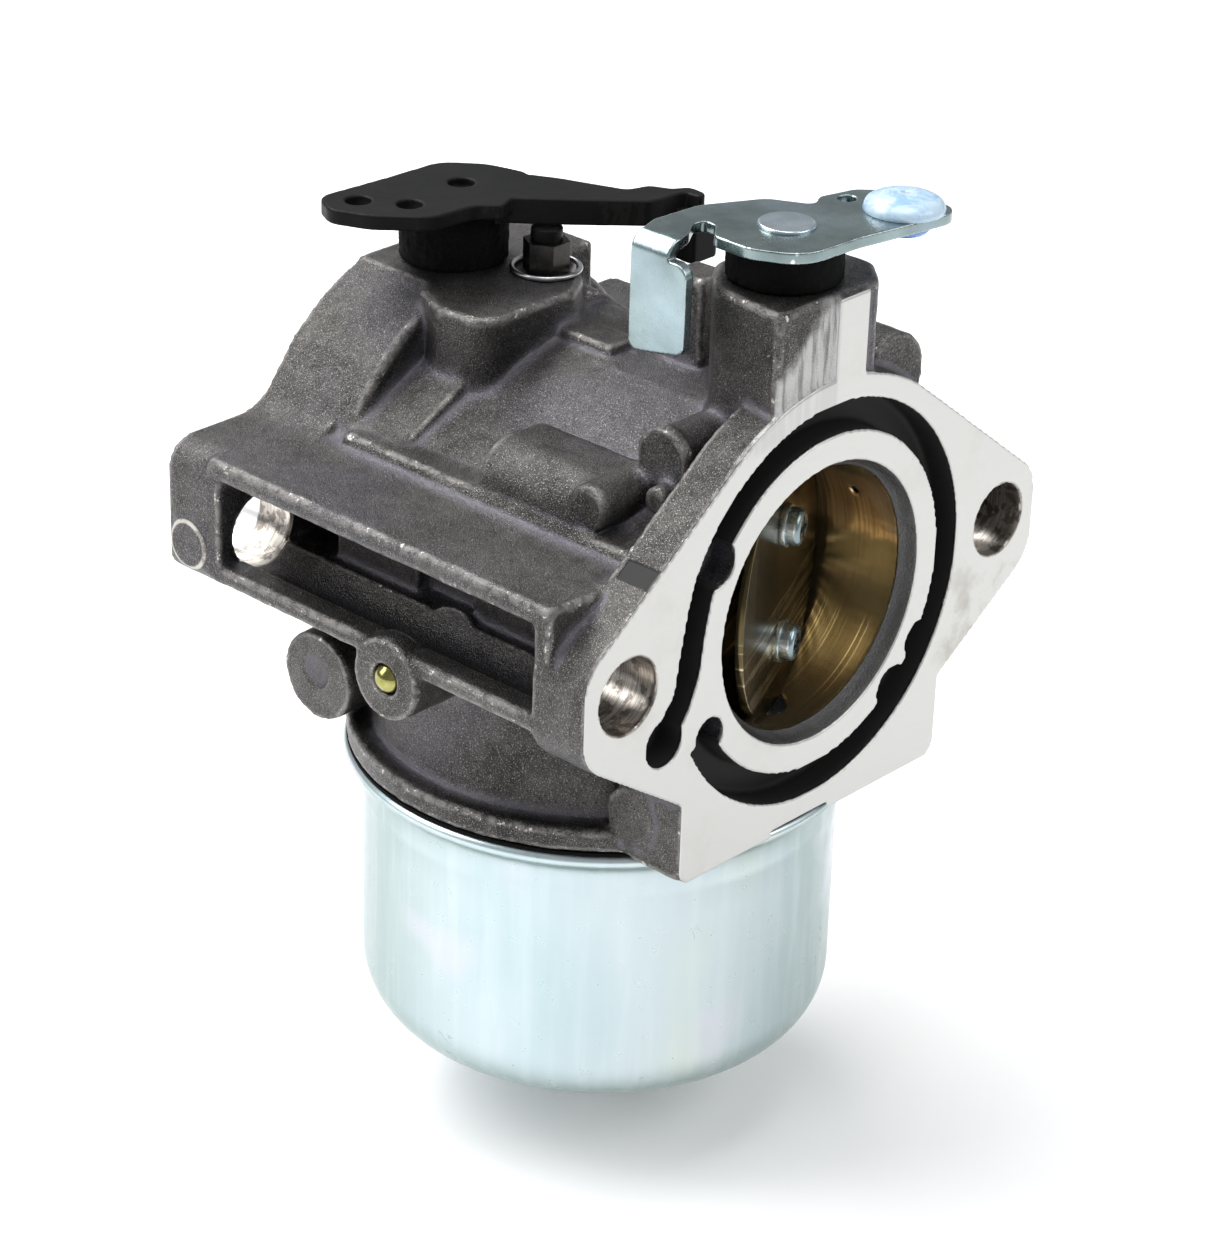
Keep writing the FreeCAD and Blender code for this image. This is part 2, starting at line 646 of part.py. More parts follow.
def bowl_fixing():
    """Bowl nut with a hollow shank, its fibre washer and the main jet in the shank."""
    washer_bottom = "size.bowl_bottom - size.washer_thickness"
    disc = bowl_rod("washer_disc", washer_bottom, "size.bowl_bottom", "size.washer_radius")
    hole = bowl_rod("washer_hole", washer_bottom + " - 1", "size.bowl_bottom + 1", "4.0")
    piece(cut("washer", disc, [hole]), "bowl_nut_washer")

    flange_bottom = washer_bottom + " - 1.6"
    flange = bowl_rod("nut_flange", flange_bottom, washer_bottom, "size.nut_flange_radius")
    hexagon_bar = hexagon("nut_hex", "size.nut_hex_across", "size.nut_bottom", flange_bottom, BOWL_CENTRE)
    shank = bowl_rod("nut_shank", washer_bottom, "size.nut_shank_top", "size.nut_shank_radius")
    whole = join("nut_whole", [flange, hexagon_bar, shank])
    bore = bowl_rod("nut_bore", "-56", "size.nut_shank_top + 1", "1.8")
    feed = rod("nut_feed", "x", "size.bowl_axis_offset - 5", "size.bowl_axis_offset + 5", "1.0",
               ("size.bowl_axis_depth", "-54.6"))
    half = "size.nut_hex_across / 2"
    crown = doc.addObject("Part::Cone", "nut_chamfer_cone")
    bind(crown, Radius1=half + " - 0.1", Radius2="size.nut_hex_across", Height=half)
    put_at(crown, *BOWL_CENTRE, "size.nut_bottom")
    skirt = bowl_rod("nut_chamfer_skirt", "size.nut_bottom", "size.nut_bottom + " + half, "12")
    shave = cut("nut_chamfer", skirt, [crown])
    piece(cut("nut", whole, [bore, feed, shave]), "bowl_nut")

    jet = bowl_rod("jet_blank", "-51.5", "size.nut_shank_top", "1.8")
    orifice = bowl_rod("jet_orifice", "-52", "size.nut_shank_top + 1", "0.45")
    piece(cut("jet", jet, [orifice]), "main_jet")


def nozzle():
    """Emulsion tube that rises from the column into the venturi, with a seal ring in its groove."""
    stem = bowl_rod("nozzle_stem", "-47.0", "size.nozzle_top", "size.nozzle_radius")
    head = bowl_rod("nozzle_head", "size.nut_shank_top + 0.1", "-47.0", "3.5")
    way = bowl_rod("nozzle_way", "size.nut_shank_top - 1", "size.nozzle_top + 1", "1.3")
    ring_space = cut("nozzle_groove", bowl_rod("nozzle_groove_disc", "-21.2", "-20.0", "3.2"),
                     [bowl_rod("nozzle_groove_core", "-22", "-19", "2.0")])
    cross = []
    for i, height in enumerate(("-42", "-37", "-32"), start=1):
        cross.append(rod(f"nozzle_cross_{i}", "y", "size.bowl_axis_depth - 3", "size.bowl_axis_depth + 3", "0.4",
                         ("size.bowl_axis_offset", height)))
    whole = join("nozzle_whole", [stem, head])
    piece(cut("nozzle", whole, [way, ring_space] + cross), "main_nozzle")
    ring = bowl_rod("ring_disc", "-21.15", "-20.05", "2.6")
    piece(cut("ring", ring, [bowl_rod("ring_hole", "-22", "-19", "2.0")]), "nozzle_seal_ring")


# ---------------------------------------------------------------------------
# Float and inlet valve
# ---------------------------------------------------------------------------

def float_parts():
    """Ring float with two hinge arms and the tab that lifts the needle; hinge pin."""
    centre = "size.bowl_axis_offset"
    pin_y = "size.float_pin_depth"
    pin_z = "size.float_pin_height"
    ring_block = bowl_rod("float_block", "size.float_bottom", "size.float_top", "size.float_radius")
    ring = round_edges("float_ring", ring_block, 1.5, lambda edge: len(edge.Vertexes) == 1)
    pieces = [ring]
    for side, near, far in (("left", -5.8, -4.2), ("right", 4.2, 5.8)):
        span = (f"{centre} + {near}", f"{centre} + {far}")
        pieces.append(box("float_leg_" + side, span, (f"{pin_y} - 6.8", f"{pin_y} - 3.4"),
                          ("size.float_top - 2", f"{pin_z} + 1.4")))
        pieces.append(box("float_arm_" + side, span, (f"{pin_y} - 6.8", f"{pin_y} + 1.3"),
                          (f"{pin_z} - 1.4", f"{pin_z} + 1.4")))
    pieces.append(box("float_tab", (f"{centre} - 5.8", f"{centre} + 5.8"),
                      (f"{pin_y} - 8.2", f"{pin_y} - 4.0"), (f"{pin_z} - 1.1", f"{pin_z} - 0.3")))
    whole = join("float_whole", pieces)
    hole = bowl_rod("float_hole", "size.float_bottom - 1", "size.float_top + 1", "size.float_hole_radius")
    pin_hole = rod("float_pin_hole", "x", f"{centre} - 7", f"{centre} + 7",
                   "size.float_pin_radius + size.running_gap", (pin_y, pin_z))
    piece(cut("float_body", whole, [hole, pin_hole]), "float")
    piece(rod("pin", "x", f"{centre} - 8.8", f"{centre} + 8.8", "size.float_pin_radius", (pin_y, pin_z)),
          "float_hinge_pin")


def inlet_valve():
    """Pressed brass seat, the needle that closes it and the inlet pipe."""
    centre = (*NEEDLE_CENTRE, "0")
    seat = [(0.9, -18.2), (2.6, -18.2), (2.6, -22.6), (1.6, -22.6), (1.6, -20.0), (0.9, -20.0)]
    piece(turned("seat", "XZ_Plane", seat, centre), "inlet_seat")
    radius = mm("needle_radius")
    needle = [(0, -25.4), (radius, -25.4), (radius, -21.63), (0.6, -20.61), (0, -20.61)]
    piece(turned("needle", "XZ_Plane", needle, centre), "inlet_needle")

    face = "size.inlet_boss_face"
    spigot = rod("pipe_spigot", "x", face + " - 5", face, "2.6", INLET_AXIS)
    collar = rod("pipe_collar", "x", face, face + " + 1.5", "4.0", INLET_AXIS)
    pipe_block = rod("pipe_block", "x", face + " + 1.5", "size.inlet_pipe_end", "size.inlet_pipe_radius",
                     INLET_AXIS)
    end = mm("inlet_pipe_end") - 0.01
    pipe = round_edges("pipe_outside", pipe_block, 0.5, lambda edge: edge.BoundBox.XMin > end)
    way = rod("pipe_way", "x", face + " - 6", "size.inlet_pipe_end + 1", "1.7", INLET_AXIS)
    piece(cut("pipe", join("pipe_whole", [spigot, collar, pipe]), [way]), "fuel_inlet_pipe")


# ---------------------------------------------------------------------------
# Throttle
# ---------------------------------------------------------------------------

def ajar(item):
    """Turn a piece, built with the throttle shut, to the angle at which the throttle rests."""
    axis_place = Vector(0, mm("throttle_axis_depth"), 0)
    item.Placement = Placement(Vector(), Rotation(Vector(0, 0, 1), mm("throttle_rest_angle")), axis_place)
    return item


def throttle_shaft():
    """Steel shaft with a flat for the plate and a staked head over the lever."""
    lever_top = "size.lever_underside + size.lever_thickness"
    stem = rod("shaft_stem", "z", "size.throttle_shaft_bottom", "size.lever_underside",
               "size.throttle_shaft_radius", THROTTLE_CENTRE)
    neck = rod("shaft_neck", "z", "size.lever_underside", lever_top, "2.0", THROTTLE_CENTRE)
    head_block = rod("shaft_head_block", "z", lever_top, lever_top + " + 0.35", "2.9", THROTTLE_CENTRE)
    crest = mm("lever_underside") + mm("lever_thickness") + 0.34
    head = round_edges("shaft_head", head_block, 0.25, lambda edge: edge.BoundBox.ZMin > crest)
    whole = join("shaft_whole", [stem, neck, head])
    back = "size.throttle_plate_front + size.throttle_plate_thickness"
    flat = box("shaft_flat", ("-4", "4"), ("size.throttle_axis_depth - 4", back), ("-15.8", "14.6"))
    holes = [rod(f"shaft_screw_hole_{i}", "y", "3", "12", "0.95", ("0", sign + "size.plate_screw_height"))
             for i, sign in enumerate(("", "-"), start=1)]
    piece(ajar(cut("shaft", whole, [flat] + holes)), "throttle_shaft")


def throttle_plate():
    front = "size.throttle_plate_front"
    back = front + " + size.throttle_plate_thickness"
    disc = rod("plate_disc", "y", front, back, "size.throttle_plate_radius", ("0", "0"))
    holes = [rod(f"plate_hole_{i}", "y", "3", "12", "1.05", ("0", sign + "size.plate_screw_height"))
             for i, sign in enumerate(("", "-"), start=1)]
    piece(ajar(cut("plate", disc, holes)), "throttle_plate")


def plate_screws():
    """Two pan-head screws with cross recesses, and their split lock washers."""
    front = "size.throttle_plate_front"
    screws = []
    washers = []
    for i, sign in enumerate(("", "-"), start=1):
        at = ("0", sign + "size.plate_screw_height")
        height = at[1]
        head_block = rod(f"screw_head_block_{i}", "y", front + " - 2.0", front + " - 0.6", "1.95", at)
        face = mm("throttle_plate_front") - 1.99
        head = round_edges(f"screw_head_{i}", head_block, 0.6, lambda edge: edge.BoundBox.YMax < face)
        shank = rod(f"screw_shank_{i}", "y", front + " - 0.6", "size.throttle_axis_depth + 2.7", "0.95", at)
        depth = (front + " - 2.5", front + " - 1.3")
        slots = [box(f"screw_slot_{i}", ("-1.2", "1.2"), depth, (f"{height} - 0.25", f"{height} + 0.25")),
                 box(f"screw_cross_{i}", ("-0.25", "0.25"), depth, (f"{height} - 1.2", f"{height} + 1.2"))]
        screws.append(cut(f"screw_{i}", join(f"screw_whole_{i}", [head, shank]), slots))
        disc = rod(f"lock_disc_{i}", "y", front + " - 0.6", front, "2.25", at)
        hole = rod(f"lock_hole_{i}", "y", front + " - 1", front + " + 1", "1.05", at)
        split = box(f"lock_split_{i}", ("0", "3"), (front + " - 1", front + " + 1"),
                    (f"{height} - 0.2", f"{height} + 0.2"))
        washers.append(cut(f"lock_{i}", disc, [hole, split]))
    piece(ajar(join("screws", screws)), "throttle_plate_screws")
    piece(ajar(join("locks", washers)), "screw_lock_washers")


def throttle_lever():
    """Zinc-plated lever: round hub, long arm for the link and a tab bent down at its other end."""
    top = "size.lever_underside + size.lever_thickness"
    outline = [
        (-10.4, 11.6, 0), (-10.4, 16.35, 0), (-8.2, 17.1, 2), (-2.0, 16.7, 5), (4.3, 13.4, 3),
        (6.4, 9.0, 2.4), (8.4, 10.2, 1.2), (12.6, 9.2, 2.2), (16.4, 5.4, 4), (15.8, -1.9, 3.9),
        (11.0, -1.3, 4), (2.5, 0.2, 6), (-5.0, 0.6, 5.5), (-7.5, 5.5, 4), (-7.4, 10.0, 1.2),
        (-5.2, 11.8, 0.8), (-4.9, 13.5, 0.7), (-6.4, 13.6, 0.9), (-8.4, 12.3, 1.0)]
    shaft_hole = (0, mm("throttle_axis_depth"), 2.0)
    bushing_hole = (mm("link_hole_x"), mm("link_hole_y"), 2.6)
    plate = slab("lever_plate", "XY_Plane", "size.lever_underside", top, outline,
                 holes=[shaft_hole, bushing_hole, (10.0, 8.0, 0.95)])
    inner = 0.6
    outer = inner + mm("lever_thickness")
    bend_x = -10.4
    bend_z = mm("lever_underside") - inner

    def at(radius, degrees):
        angle = math.radians(degrees)
        return Vector(bend_x + radius * math.cos(angle), bend_z + radius * math.sin(angle), 0)

    bend = doc.addObject("PartDesign::Body", "lever_bend")
    edges = [
        Part.Arc(at(outer, 90), at(outer, 135), at(outer, 180)),
        Part.LineSegment(at(outer, 180), at(inner, 180)),
        Part.Arc(at(inner, 180), at(inner, 135), at(inner, 90)),
        Part.LineSegment(at(inner, 90), at(outer, 90)),
    ]
    pad = bend.newObject("PartDesign::Pad", "lever_bend_pad")
    pad.Profile = sketch_in(bend, "XZ_Plane", "-11.6", edges)
    pad.Reversed = True
    bind(pad, Length="16.35 - 11.6")
    tab = slab("lever_tab", "YZ_Plane", f"{bend_x - outer}", f"{bend_x - inner}", [
        (9.2, bend_z, 1.4), (16.35, bend_z, 0), (16.45, 25.9, 1.1), (9.3, 27.2, 1.1)])
    piece(join("lever", [plate, bend, tab]), "throttle_lever")


def throttle_trim():
    """Soft seal round the shaft and the snapped-in bushing that takes the governor link."""
    top = "size.lever_underside - size.end_gap"
    disc_block = rod("seal_disc_block", "z", "size.block_top", top, "size.seal_radius", THROTTLE_CENTRE)
    disc = round_edges("seal_disc", disc_block, 0.4, lambda edge: len(edge.Vertexes) == 1)
    hole = rod("seal_hole", "z", "size.block_top - 1", "size.lever_underside",
               "size.throttle_shaft_radius + 0.05", THROTTLE_CENTRE)
    piece(cut("seal", disc, [hole]), "throttle_shaft_seal")

    under = mm("lever_underside")
    over = under + mm("lever_thickness")
    outline = [
        (0, over + 1.8), (1.6, over + 1.72), (3.1, over + 1.35), (3.95, over + 0.75), (4.15, over),
        (2.6, over), (2.6, under), (3.0, under - 0.15), (2.5, under - 0.9), (1.25, under - 0.9),
        (1.25, over + 0.2), (0, over + 0.2)]
    bushing = turned("bushing", "XZ_Plane", outline, ("size.link_hole_x", "size.link_hole_y", "0"))
    piece(bushing, "link_bushing")


# ---------------------------------------------------------------------------
# Choke
# ---------------------------------------------------------------------------

def choke_lever():
    """Moulded choke lever and shaft in one piece, slotted for the plate."""
    top = "size.choke_lever_top"
    lobe_under = top + " - size.choke_lobe_thickness"
    arm_under = top + " - size.choke_arm_thickness"
    hole = 1.35
    lobe = slab("choke_lobe", "XY_Plane", lobe_under, top, [
        (-15.4, 55.2, 2.5), (-13.6, 58.9, 2.5), (-4.0, 58.2, 6), (3.2, 58.0, 4), (6.4, 54.2, 5),
        (7.8, 49.0, 4), (5.6, 46.6, 0.4), (0.2, 44.6, 0.3), (-1.6, 43.9, 0.4), (-3.6, 45.9, 2),
        (-9.4, 46.4, 4), (-13.6, 51.0, 6)], holes=[(-11.3, 55.2, hole), (-8.2, 50.8, hole)])
    arm = slab("choke_arm", "XY_Plane", arm_under, top, [
        (-1.3, 46.0, 0.3), (0.6, 45.0, 1.5), (4.6, 40.6, 8), (7.6, 37.5, 6), (10.6, 34.5, 1.5),
        (12.2, 34.1, 1), (15.4, 33.9, 0.6), (15.5, 31.5, 0.8), (16.9, 32.2, 1.2), (17.0, 34.6, 1.0),
        (15.3, 35.6, 0.8), (14.2, 37.9, 1.6), (11.6, 38.6, 1.5), (9.2, 45.2, 8), (7.4, 48.8, 0.5),
        (0.5, 46.2, 0)])
    finger = slab("choke_finger", "XY_Plane", "23.5", arm_under, [
        (13.9, 31.2, 0.6), (18.2, 31.2, 0.9), (18.4, 34.4, 0.9), (14.1, 34.6, 0.6)])
    tongue = box("choke_tongue", ("14.4", "17.8"), ("31.6", "34.2"),
                 (arm_under + " - 0.5", arm_under + " + 1"))
    shaft = rod("choke_stem", "z", "size.choke_shaft_bottom", lobe_under, "size.choke_shaft_radius",
                CHOKE_CENTRE)
    whole = join("choke_whole", [lobe, arm, finger, tongue, shaft])
    half = "size.choke_plate_thickness / 2"
    slot = box("choke_slot", ("-5", "5"),
               (f"size.choke_axis_depth - {half}", f"size.choke_axis_depth + {half}"), ("-15.85", "15.85"))
    dimple = rod("choke_dimple", "z", top + " - 1", top + " + 1", "1.4", ("0.3", "51.8"))
    piece(cut("choke", whole, [slot, dimple]), "choke_lever")


def choke_plate():
    half = "size.choke_plate_thickness / 2"
    front = f"size.choke_axis_depth - {half}"
    back = f"size.choke_axis_depth + {half}"
    disc = rod("choke_disc", "y", front, back, "size.choke_plate_radius", ("0", "0"))
    vents = [rod(f"choke_vent_{i}", "y", front + " - 1", front + " + 3", "1.6", (x, "-9"))
             for i, x in enumerate(("-7", "7"), start=1)]
    piece(cut("choke_valve", disc, vents), "choke_plate")


def choke_felt():
    top = "size.choke_lever_top - size.choke_lobe_thickness - size.end_gap"
    disc_block = rod("felt_disc_block", "z", "size.deck_height", top, "size.felt_radius", CHOKE_CENTRE)
    disc = round_edges("felt_disc", disc_block, 0.5, lambda edge: len(edge.Vertexes) == 1)
    hole = rod("felt_hole", "z", "size.deck_height - 1", top + " + 1", "size.choke_shaft_radius + 0.05",
               CHOKE_CENTRE)
    piece(cut("felt", disc, [hole]), "choke_shaft_felt")


# ---------------------------------------------------------------------------
# Small fittings on the casting
# ---------------------------------------------------------------------------

def mixture_screw():
    """Hex-headed idle mixture screw with a plastic cap and a wire ring round its foot."""
    head_top = "size.deck_height + size.mixture_head_height"
    head = hexagon("mixture_hex", "size.mixture_hex_across", "size.deck_height", head_top,
                   MIXTURE_CENTRE)
    stem = rod("mixture_stem", "z", "17.6", "size.deck_height", "1.5", MIXTURE_CENTRE)
    piece(join("mixture", [head, stem]), "idle_mixture_screw")
    cap_block = rod("mixture_cap_block", "z", head_top, head_top + " + 1.5", "1.7", MIXTURE_CENTRE)
    crest = mm("deck_height") + mm("mixture_head_height") + 1.49
    cap = round_edges("mixture_cap", cap_block, 0.3, lambda edge: edge.BoundBox.ZMin > crest)
    piece(cap, "mixture_screw_cap")
    ring = doc.addObject("Part::Torus", "mixture_ring")
    bind(ring, Radius1="3.6", Radius2="0.28")
    put_at(ring, *MIXTURE_CENTRE, "size.deck_height + 0.3")
    piece(ring, "mixture_screw_ring")


def plugs_and_jets():
    """Ball that closes the main drilling, and the two air jets in the intake face."""
    ball = doc.addObject("Part::Sphere", "ball")
    bind(ball, Radius="1.65")
    put_at(ball, "-34.0", "26.7", "-5.95")
    piece(ball, "ball_plug")
    for node, x, bore in (("main_air_jet", "-13.8", "0.5"), ("idle_air_jet", "13.8", "0.35")):
        at = (x, "13.8")
        blank = rod(node + "_blank", "y", "size.body_length - 4", "size.body_length - 0.4", "1.3", at)
        way = rod(node + "_way", "y", "size.body_length - 5", "size.body_length + 1", bore, at)
        cup = rod(node + "_cup", "y", "size.body_length - 1.4", "size.body_length + 1", "0.8", at)
        piece(cut(node + "_cut", blank, [way, cup]), node)


# ---------------------------------------------------------------------------
# Build, test and write
# ---------------------------------------------------------------------------

carb_body()
bowl_shell()
gasket()
bowl_fixing()
nozzle()
float_parts()
inlet_valve()
throttle_shaft()
throttle_plate()
plate_screws()
throttle_lever()
throttle_trim()
choke_lever()
choke_plate()
choke_felt()
mixture_screw()
plugs_and_jets()
doc.recompute()

for item in doc.Objects:
    if "Invalid" in item.State or "Error" in item.State:
        raise RuntimeError(f"{item.Name} did not build: {item.State}")
for node, item in made.items():
    if item.Shape.isNull() or not item.Shape.isValid() or not item.Shape.Solids:
        raise RuntimeError(f"{node} has no valid solid")

os.makedirs("parts", exist_ok=True)
for node, item in made.items():
    item.Shape.exportStep(f"parts/{node}.step")
    box_size = item.Shape.BoundBox
    print(f"{node}: {len(item.Shape.Solids)} solid(s), {item.Shape.Volume:.1f} mm3, "
          f"X {box_size.XMin:.2f} to {box_size.XMax:.2f}, Y {box_size.YMin:.2f} to {box_size.YMax:.2f}, "
          f"Z {box_size.ZMin:.2f} to {box_size.ZMax:.2f}")
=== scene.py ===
"""Float-bowl carburettor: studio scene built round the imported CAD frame."""

import json
import math

import bpy
import numpy as np
from mathutils import Matrix, Vector


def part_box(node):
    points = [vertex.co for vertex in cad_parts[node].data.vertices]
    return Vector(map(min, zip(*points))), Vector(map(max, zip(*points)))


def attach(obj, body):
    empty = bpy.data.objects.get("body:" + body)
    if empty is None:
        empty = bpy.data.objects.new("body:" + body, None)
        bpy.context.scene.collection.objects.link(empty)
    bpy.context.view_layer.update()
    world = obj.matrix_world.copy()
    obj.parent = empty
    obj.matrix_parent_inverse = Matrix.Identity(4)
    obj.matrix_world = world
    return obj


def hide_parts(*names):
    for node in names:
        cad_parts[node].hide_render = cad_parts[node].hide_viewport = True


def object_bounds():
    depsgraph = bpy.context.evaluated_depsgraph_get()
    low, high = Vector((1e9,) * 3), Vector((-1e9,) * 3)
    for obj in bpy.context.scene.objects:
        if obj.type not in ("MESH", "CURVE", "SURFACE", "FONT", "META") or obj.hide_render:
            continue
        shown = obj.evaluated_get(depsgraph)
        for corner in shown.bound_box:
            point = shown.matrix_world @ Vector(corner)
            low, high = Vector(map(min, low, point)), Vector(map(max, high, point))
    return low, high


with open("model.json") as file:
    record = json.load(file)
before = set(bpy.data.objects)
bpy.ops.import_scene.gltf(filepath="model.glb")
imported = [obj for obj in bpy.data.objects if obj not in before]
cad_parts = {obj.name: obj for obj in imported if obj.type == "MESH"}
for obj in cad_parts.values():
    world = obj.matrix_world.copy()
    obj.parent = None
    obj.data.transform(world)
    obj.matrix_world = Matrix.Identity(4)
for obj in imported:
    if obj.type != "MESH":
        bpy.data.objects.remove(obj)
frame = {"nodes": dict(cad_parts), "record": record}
cad_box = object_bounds()

MM = 0.001
NODES = frame["nodes"]

# Measures of the casting in millimetres: the bore's axis is X = Z = 0, the flange face is Y = 0
STUD_X = 28.575
STUD_REACH = 4.3
FLANGE_FACE, INTAKE_FACE = 0.0, 59.0
GROOVE_INNER, GROOVE_OUTER = 17.85, 21.85
GROOVE_FLOOR = 4.5
TAIL_X, TAIL_Z = (-26.2, -15.2), (-10.2, 11.6)
TAIL_FLOOR = 4.2
EAR_PAD_YZ = (55.9, -1.3)
RAIL_END_X = 34.3
BALL_YZ = (26.7, -5.95)
RIGHT_BOSS_YZ = (42.3, -17.5)


def middle(node):
    """Centre of a CAD node's box in millimetres."""
    low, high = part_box(node)
    return (low + high) / (2 * MM)


BOWL_AXIS = middle("float_bowl")
THROTTLE_Y = middle("throttle_shaft_seal").y
CHOKE_Y = middle("choke_shaft_felt").y
SCREW_XY = tuple(middle("idle_mixture_screw"))[:2]


# ---------------------------------------------------------------------------
# Camera, floor and light
# ---------------------------------------------------------------------------

CAMERA_PLACE = Vector((-257.924, -205.304, 163.328)) * MM
CAMERA_AZIMUTH, CAMERA_ELEVATION, CAMERA_ROLL = (math.radians(angle) for angle in (-47.592, 26.994, 1.70))
LENS, SENSOR_WIDTH = 105.56, 36
LENS_SHIFT = (0.0046, 0.0060)
LIGHTS_AIM = Vector((0, 0.03, -0.01))


def make_camera():
    """A long lens from the front left, a little above the object."""
    right = Vector((math.cos(CAMERA_AZIMUTH), math.sin(CAMERA_AZIMUTH), 0))
    back = Vector((math.sin(CAMERA_AZIMUTH) * math.cos(CAMERA_ELEVATION),
                   -math.cos(CAMERA_AZIMUTH) * math.cos(CAMERA_ELEVATION), math.sin(CAMERA_ELEVATION)))
    up = back.cross(right)
    side = right * math.cos(CAMERA_ROLL) + up * math.sin(CAMERA_ROLL)
    top = up * math.cos(CAMERA_ROLL) - right * math.sin(CAMERA_ROLL)
    data = bpy.data.cameras.new("camera")
    data.sensor_width = SENSOR_WIDTH
    data.lens = LENS
    data.shift_x, data.shift_y = LENS_SHIFT
    data.clip_start = 0.01
    data.clip_end = 20
    camera = bpy.data.objects.new("camera", data)
    bpy.context.scene.collection.objects.link(camera)
    turned = Matrix((side, top, back)).transposed().to_4x4()
    camera.matrix_world = Matrix.Translation(CAMERA_PLACE) @ turned
    bpy.context.scene.camera = camera


def softbox(name, towards, distance, width, height, radiance):
    """A rectangular light that stands in the direction `towards` and faces the object."""
    data = bpy.data.lights.new(name, "AREA")
    data.shape = "RECTANGLE"
    data.size = width
    data.size_y = height
    data.energy = radiance * math.pi * width * height
    lamp = bpy.data.objects.new(name, data)
    bpy.context.scene.collection.objects.link(lamp)
    way = Vector(towards).normalized()
    lamp.location = LIGHTS_AIM + way * distance
    lamp.rotation_euler = way.to_track_quat("Z", "Y").to_euler()


# ---------------------------------------------------------------------------
# Material helper
# ---------------------------------------------------------------------------

class Look:
    """A node material whose coordinates are millimetres in the object's own frame."""

    def __init__(self, name):
        self.material = bpy.data.materials.new(name)
        self.material.use_nodes = True
        self.tree = self.material.node_tree
        self.shader = self.tree.nodes["Principled BSDF"]
        self.metres = self.add("ShaderNodeTexCoord").outputs["Object"]
        self.place = self.vector("SCALE", self.metres, scale=1 / MM)
        parts = self.add("ShaderNodeSeparateXYZ", Vector=self.place)
        self.x, self.y, self.z = parts.outputs

    def add(self, kind, settings=None, **inputs):
        node = self.tree.nodes.new(kind)
        for key, value in (settings or {}).items():
            setattr(node, key, value)
        for key, value in inputs.items():
            self.feed(node.inputs[key], value)
        return node

    def feed(self, socket, value):
        if isinstance(value, bpy.types.NodeSocket):
            self.tree.links.new(value, socket)
        elif isinstance(value, (tuple, list)) and len(value) == 3 and len(socket.default_value) == 4:
            socket.default_value = (*value, 1)
        else:
            socket.default_value = value

    def vector(self, operation, first, second=None, scale=None):
        node = self.add("ShaderNodeVectorMath", {"operation": operation})
        self.feed(node.inputs[0], first)
        if second is not None:
            self.feed(node.inputs[1], second)
        if scale is not None:
            node.inputs["Scale"].default_value = scale
        return node.outputs["Value" if operation in ("LENGTH", "DISTANCE") else "Vector"]

    def math(self, operation, first, second=0.0, clamp=False):
        node = self.add("ShaderNodeMath", {"operation": operation, "use_clamp": clamp})
        self.feed(node.inputs[0], first)
        self.feed(node.inputs[1], second)
        return node.outputs[0]

    def step(self, value, start, end, low=0.0, high=1.0):
        """Goes smoothly from low at start to high at end."""
        node = self.add("ShaderNodeMapRange", {"interpolation_type": "SMOOTHSTEP"})
        self.feed(node.inputs["Value"], value)
        node.inputs["From Min"].default_value = start
        node.inputs["From Max"].default_value = end
        node.inputs["To Min"].default_value = low
        node.inputs["To Max"].default_value = high
        return node.outputs["Result"]

    def within(self, value, low, high, soft):
        """1 between low and high, fading over `soft` on both sides."""
        return self.math("MULTIPLY", self.step(value, low - soft, low + soft),
                         self.step(value, high + soft, high - soft))

    def product(self, *factors):
        result = factors[0]
        for factor in factors[1:]:
            result = self.math("MULTIPLY", result, factor)
        return result

    def either(self, *factors):
        result = factors[0]
        for factor in factors[1:]:
            result = self.math("MAXIMUM", result, factor)
        return result

    def opposite(self, factor):
        return self.math("SUBTRACT", 1.0, factor, clamp=True)

    def noise(self, scale, detail=2.0, roughness=0.5, stretch=None, distortion=0.0, shift=0.0):
        """Noise with `scale` features to the millimetre; stretch multiplies each axis."""
        place = self.place
        if stretch:
            place = self.vector("MULTIPLY", place, stretch)
        if shift:
            place = self.vector("ADD", place, (shift, shift * 0.7, -shift))
        node = self.add("ShaderNodeTexNoise", Vector=place, Scale=scale, Detail=detail, Roughness=roughness,
                        Distortion=distortion)
        return node.outputs["Fac"]

    def mix(self, factor, first, second):
        node = self.add("ShaderNodeMix", {"data_type": "RGBA"})
        self.feed(node.inputs["Factor"], factor)
        self.feed(node.inputs[6], first)
        self.feed(node.inputs[7], second)
        return node.outputs[2]

    def blend(self, factor, first, second):
        node = self.add("ShaderNodeMix", {"data_type": "FLOAT"})
        self.feed(node.inputs[0], factor)
        self.feed(node.inputs[2], first)
        self.feed(node.inputs[3], second)
        return node.outputs[0]

    def distance_from_line(self, axis, a, b):
        """Distance from a line along one axis through the two other coordinates a and b."""
        pairs = {"y": (self.x, self.z), "z": (self.x, self.y), "x": (self.y, self.z)}
        first, second = pairs[axis]
        across = self.math("SUBTRACT", first, a)
        along = self.math("SUBTRACT", second, b)
        return self.math("SQRT", self.math("ADD", self.product(across, across), self.product(along, along)))

    def bump(self, height, depth, strength=1.0, before=None):
        """A bump `depth` millimetres high; before is a bump to add to."""
        node = self.add("ShaderNodeBump", Height=height)
        node.inputs["Distance"].default_value = depth * MM
        node.inputs["Strength"].default_value = strength
        if before is not None:
            self.feed(node.inputs["Normal"], before)
        return node.outputs["Normal"]

    def curvature(self):
        """How sharply the surface bends, per millimetre: positive on ridges, negative in corners."""
        return self.add("ShaderNodeAttribute", {"attribute_name": "curvature"}).outputs["Fac"]

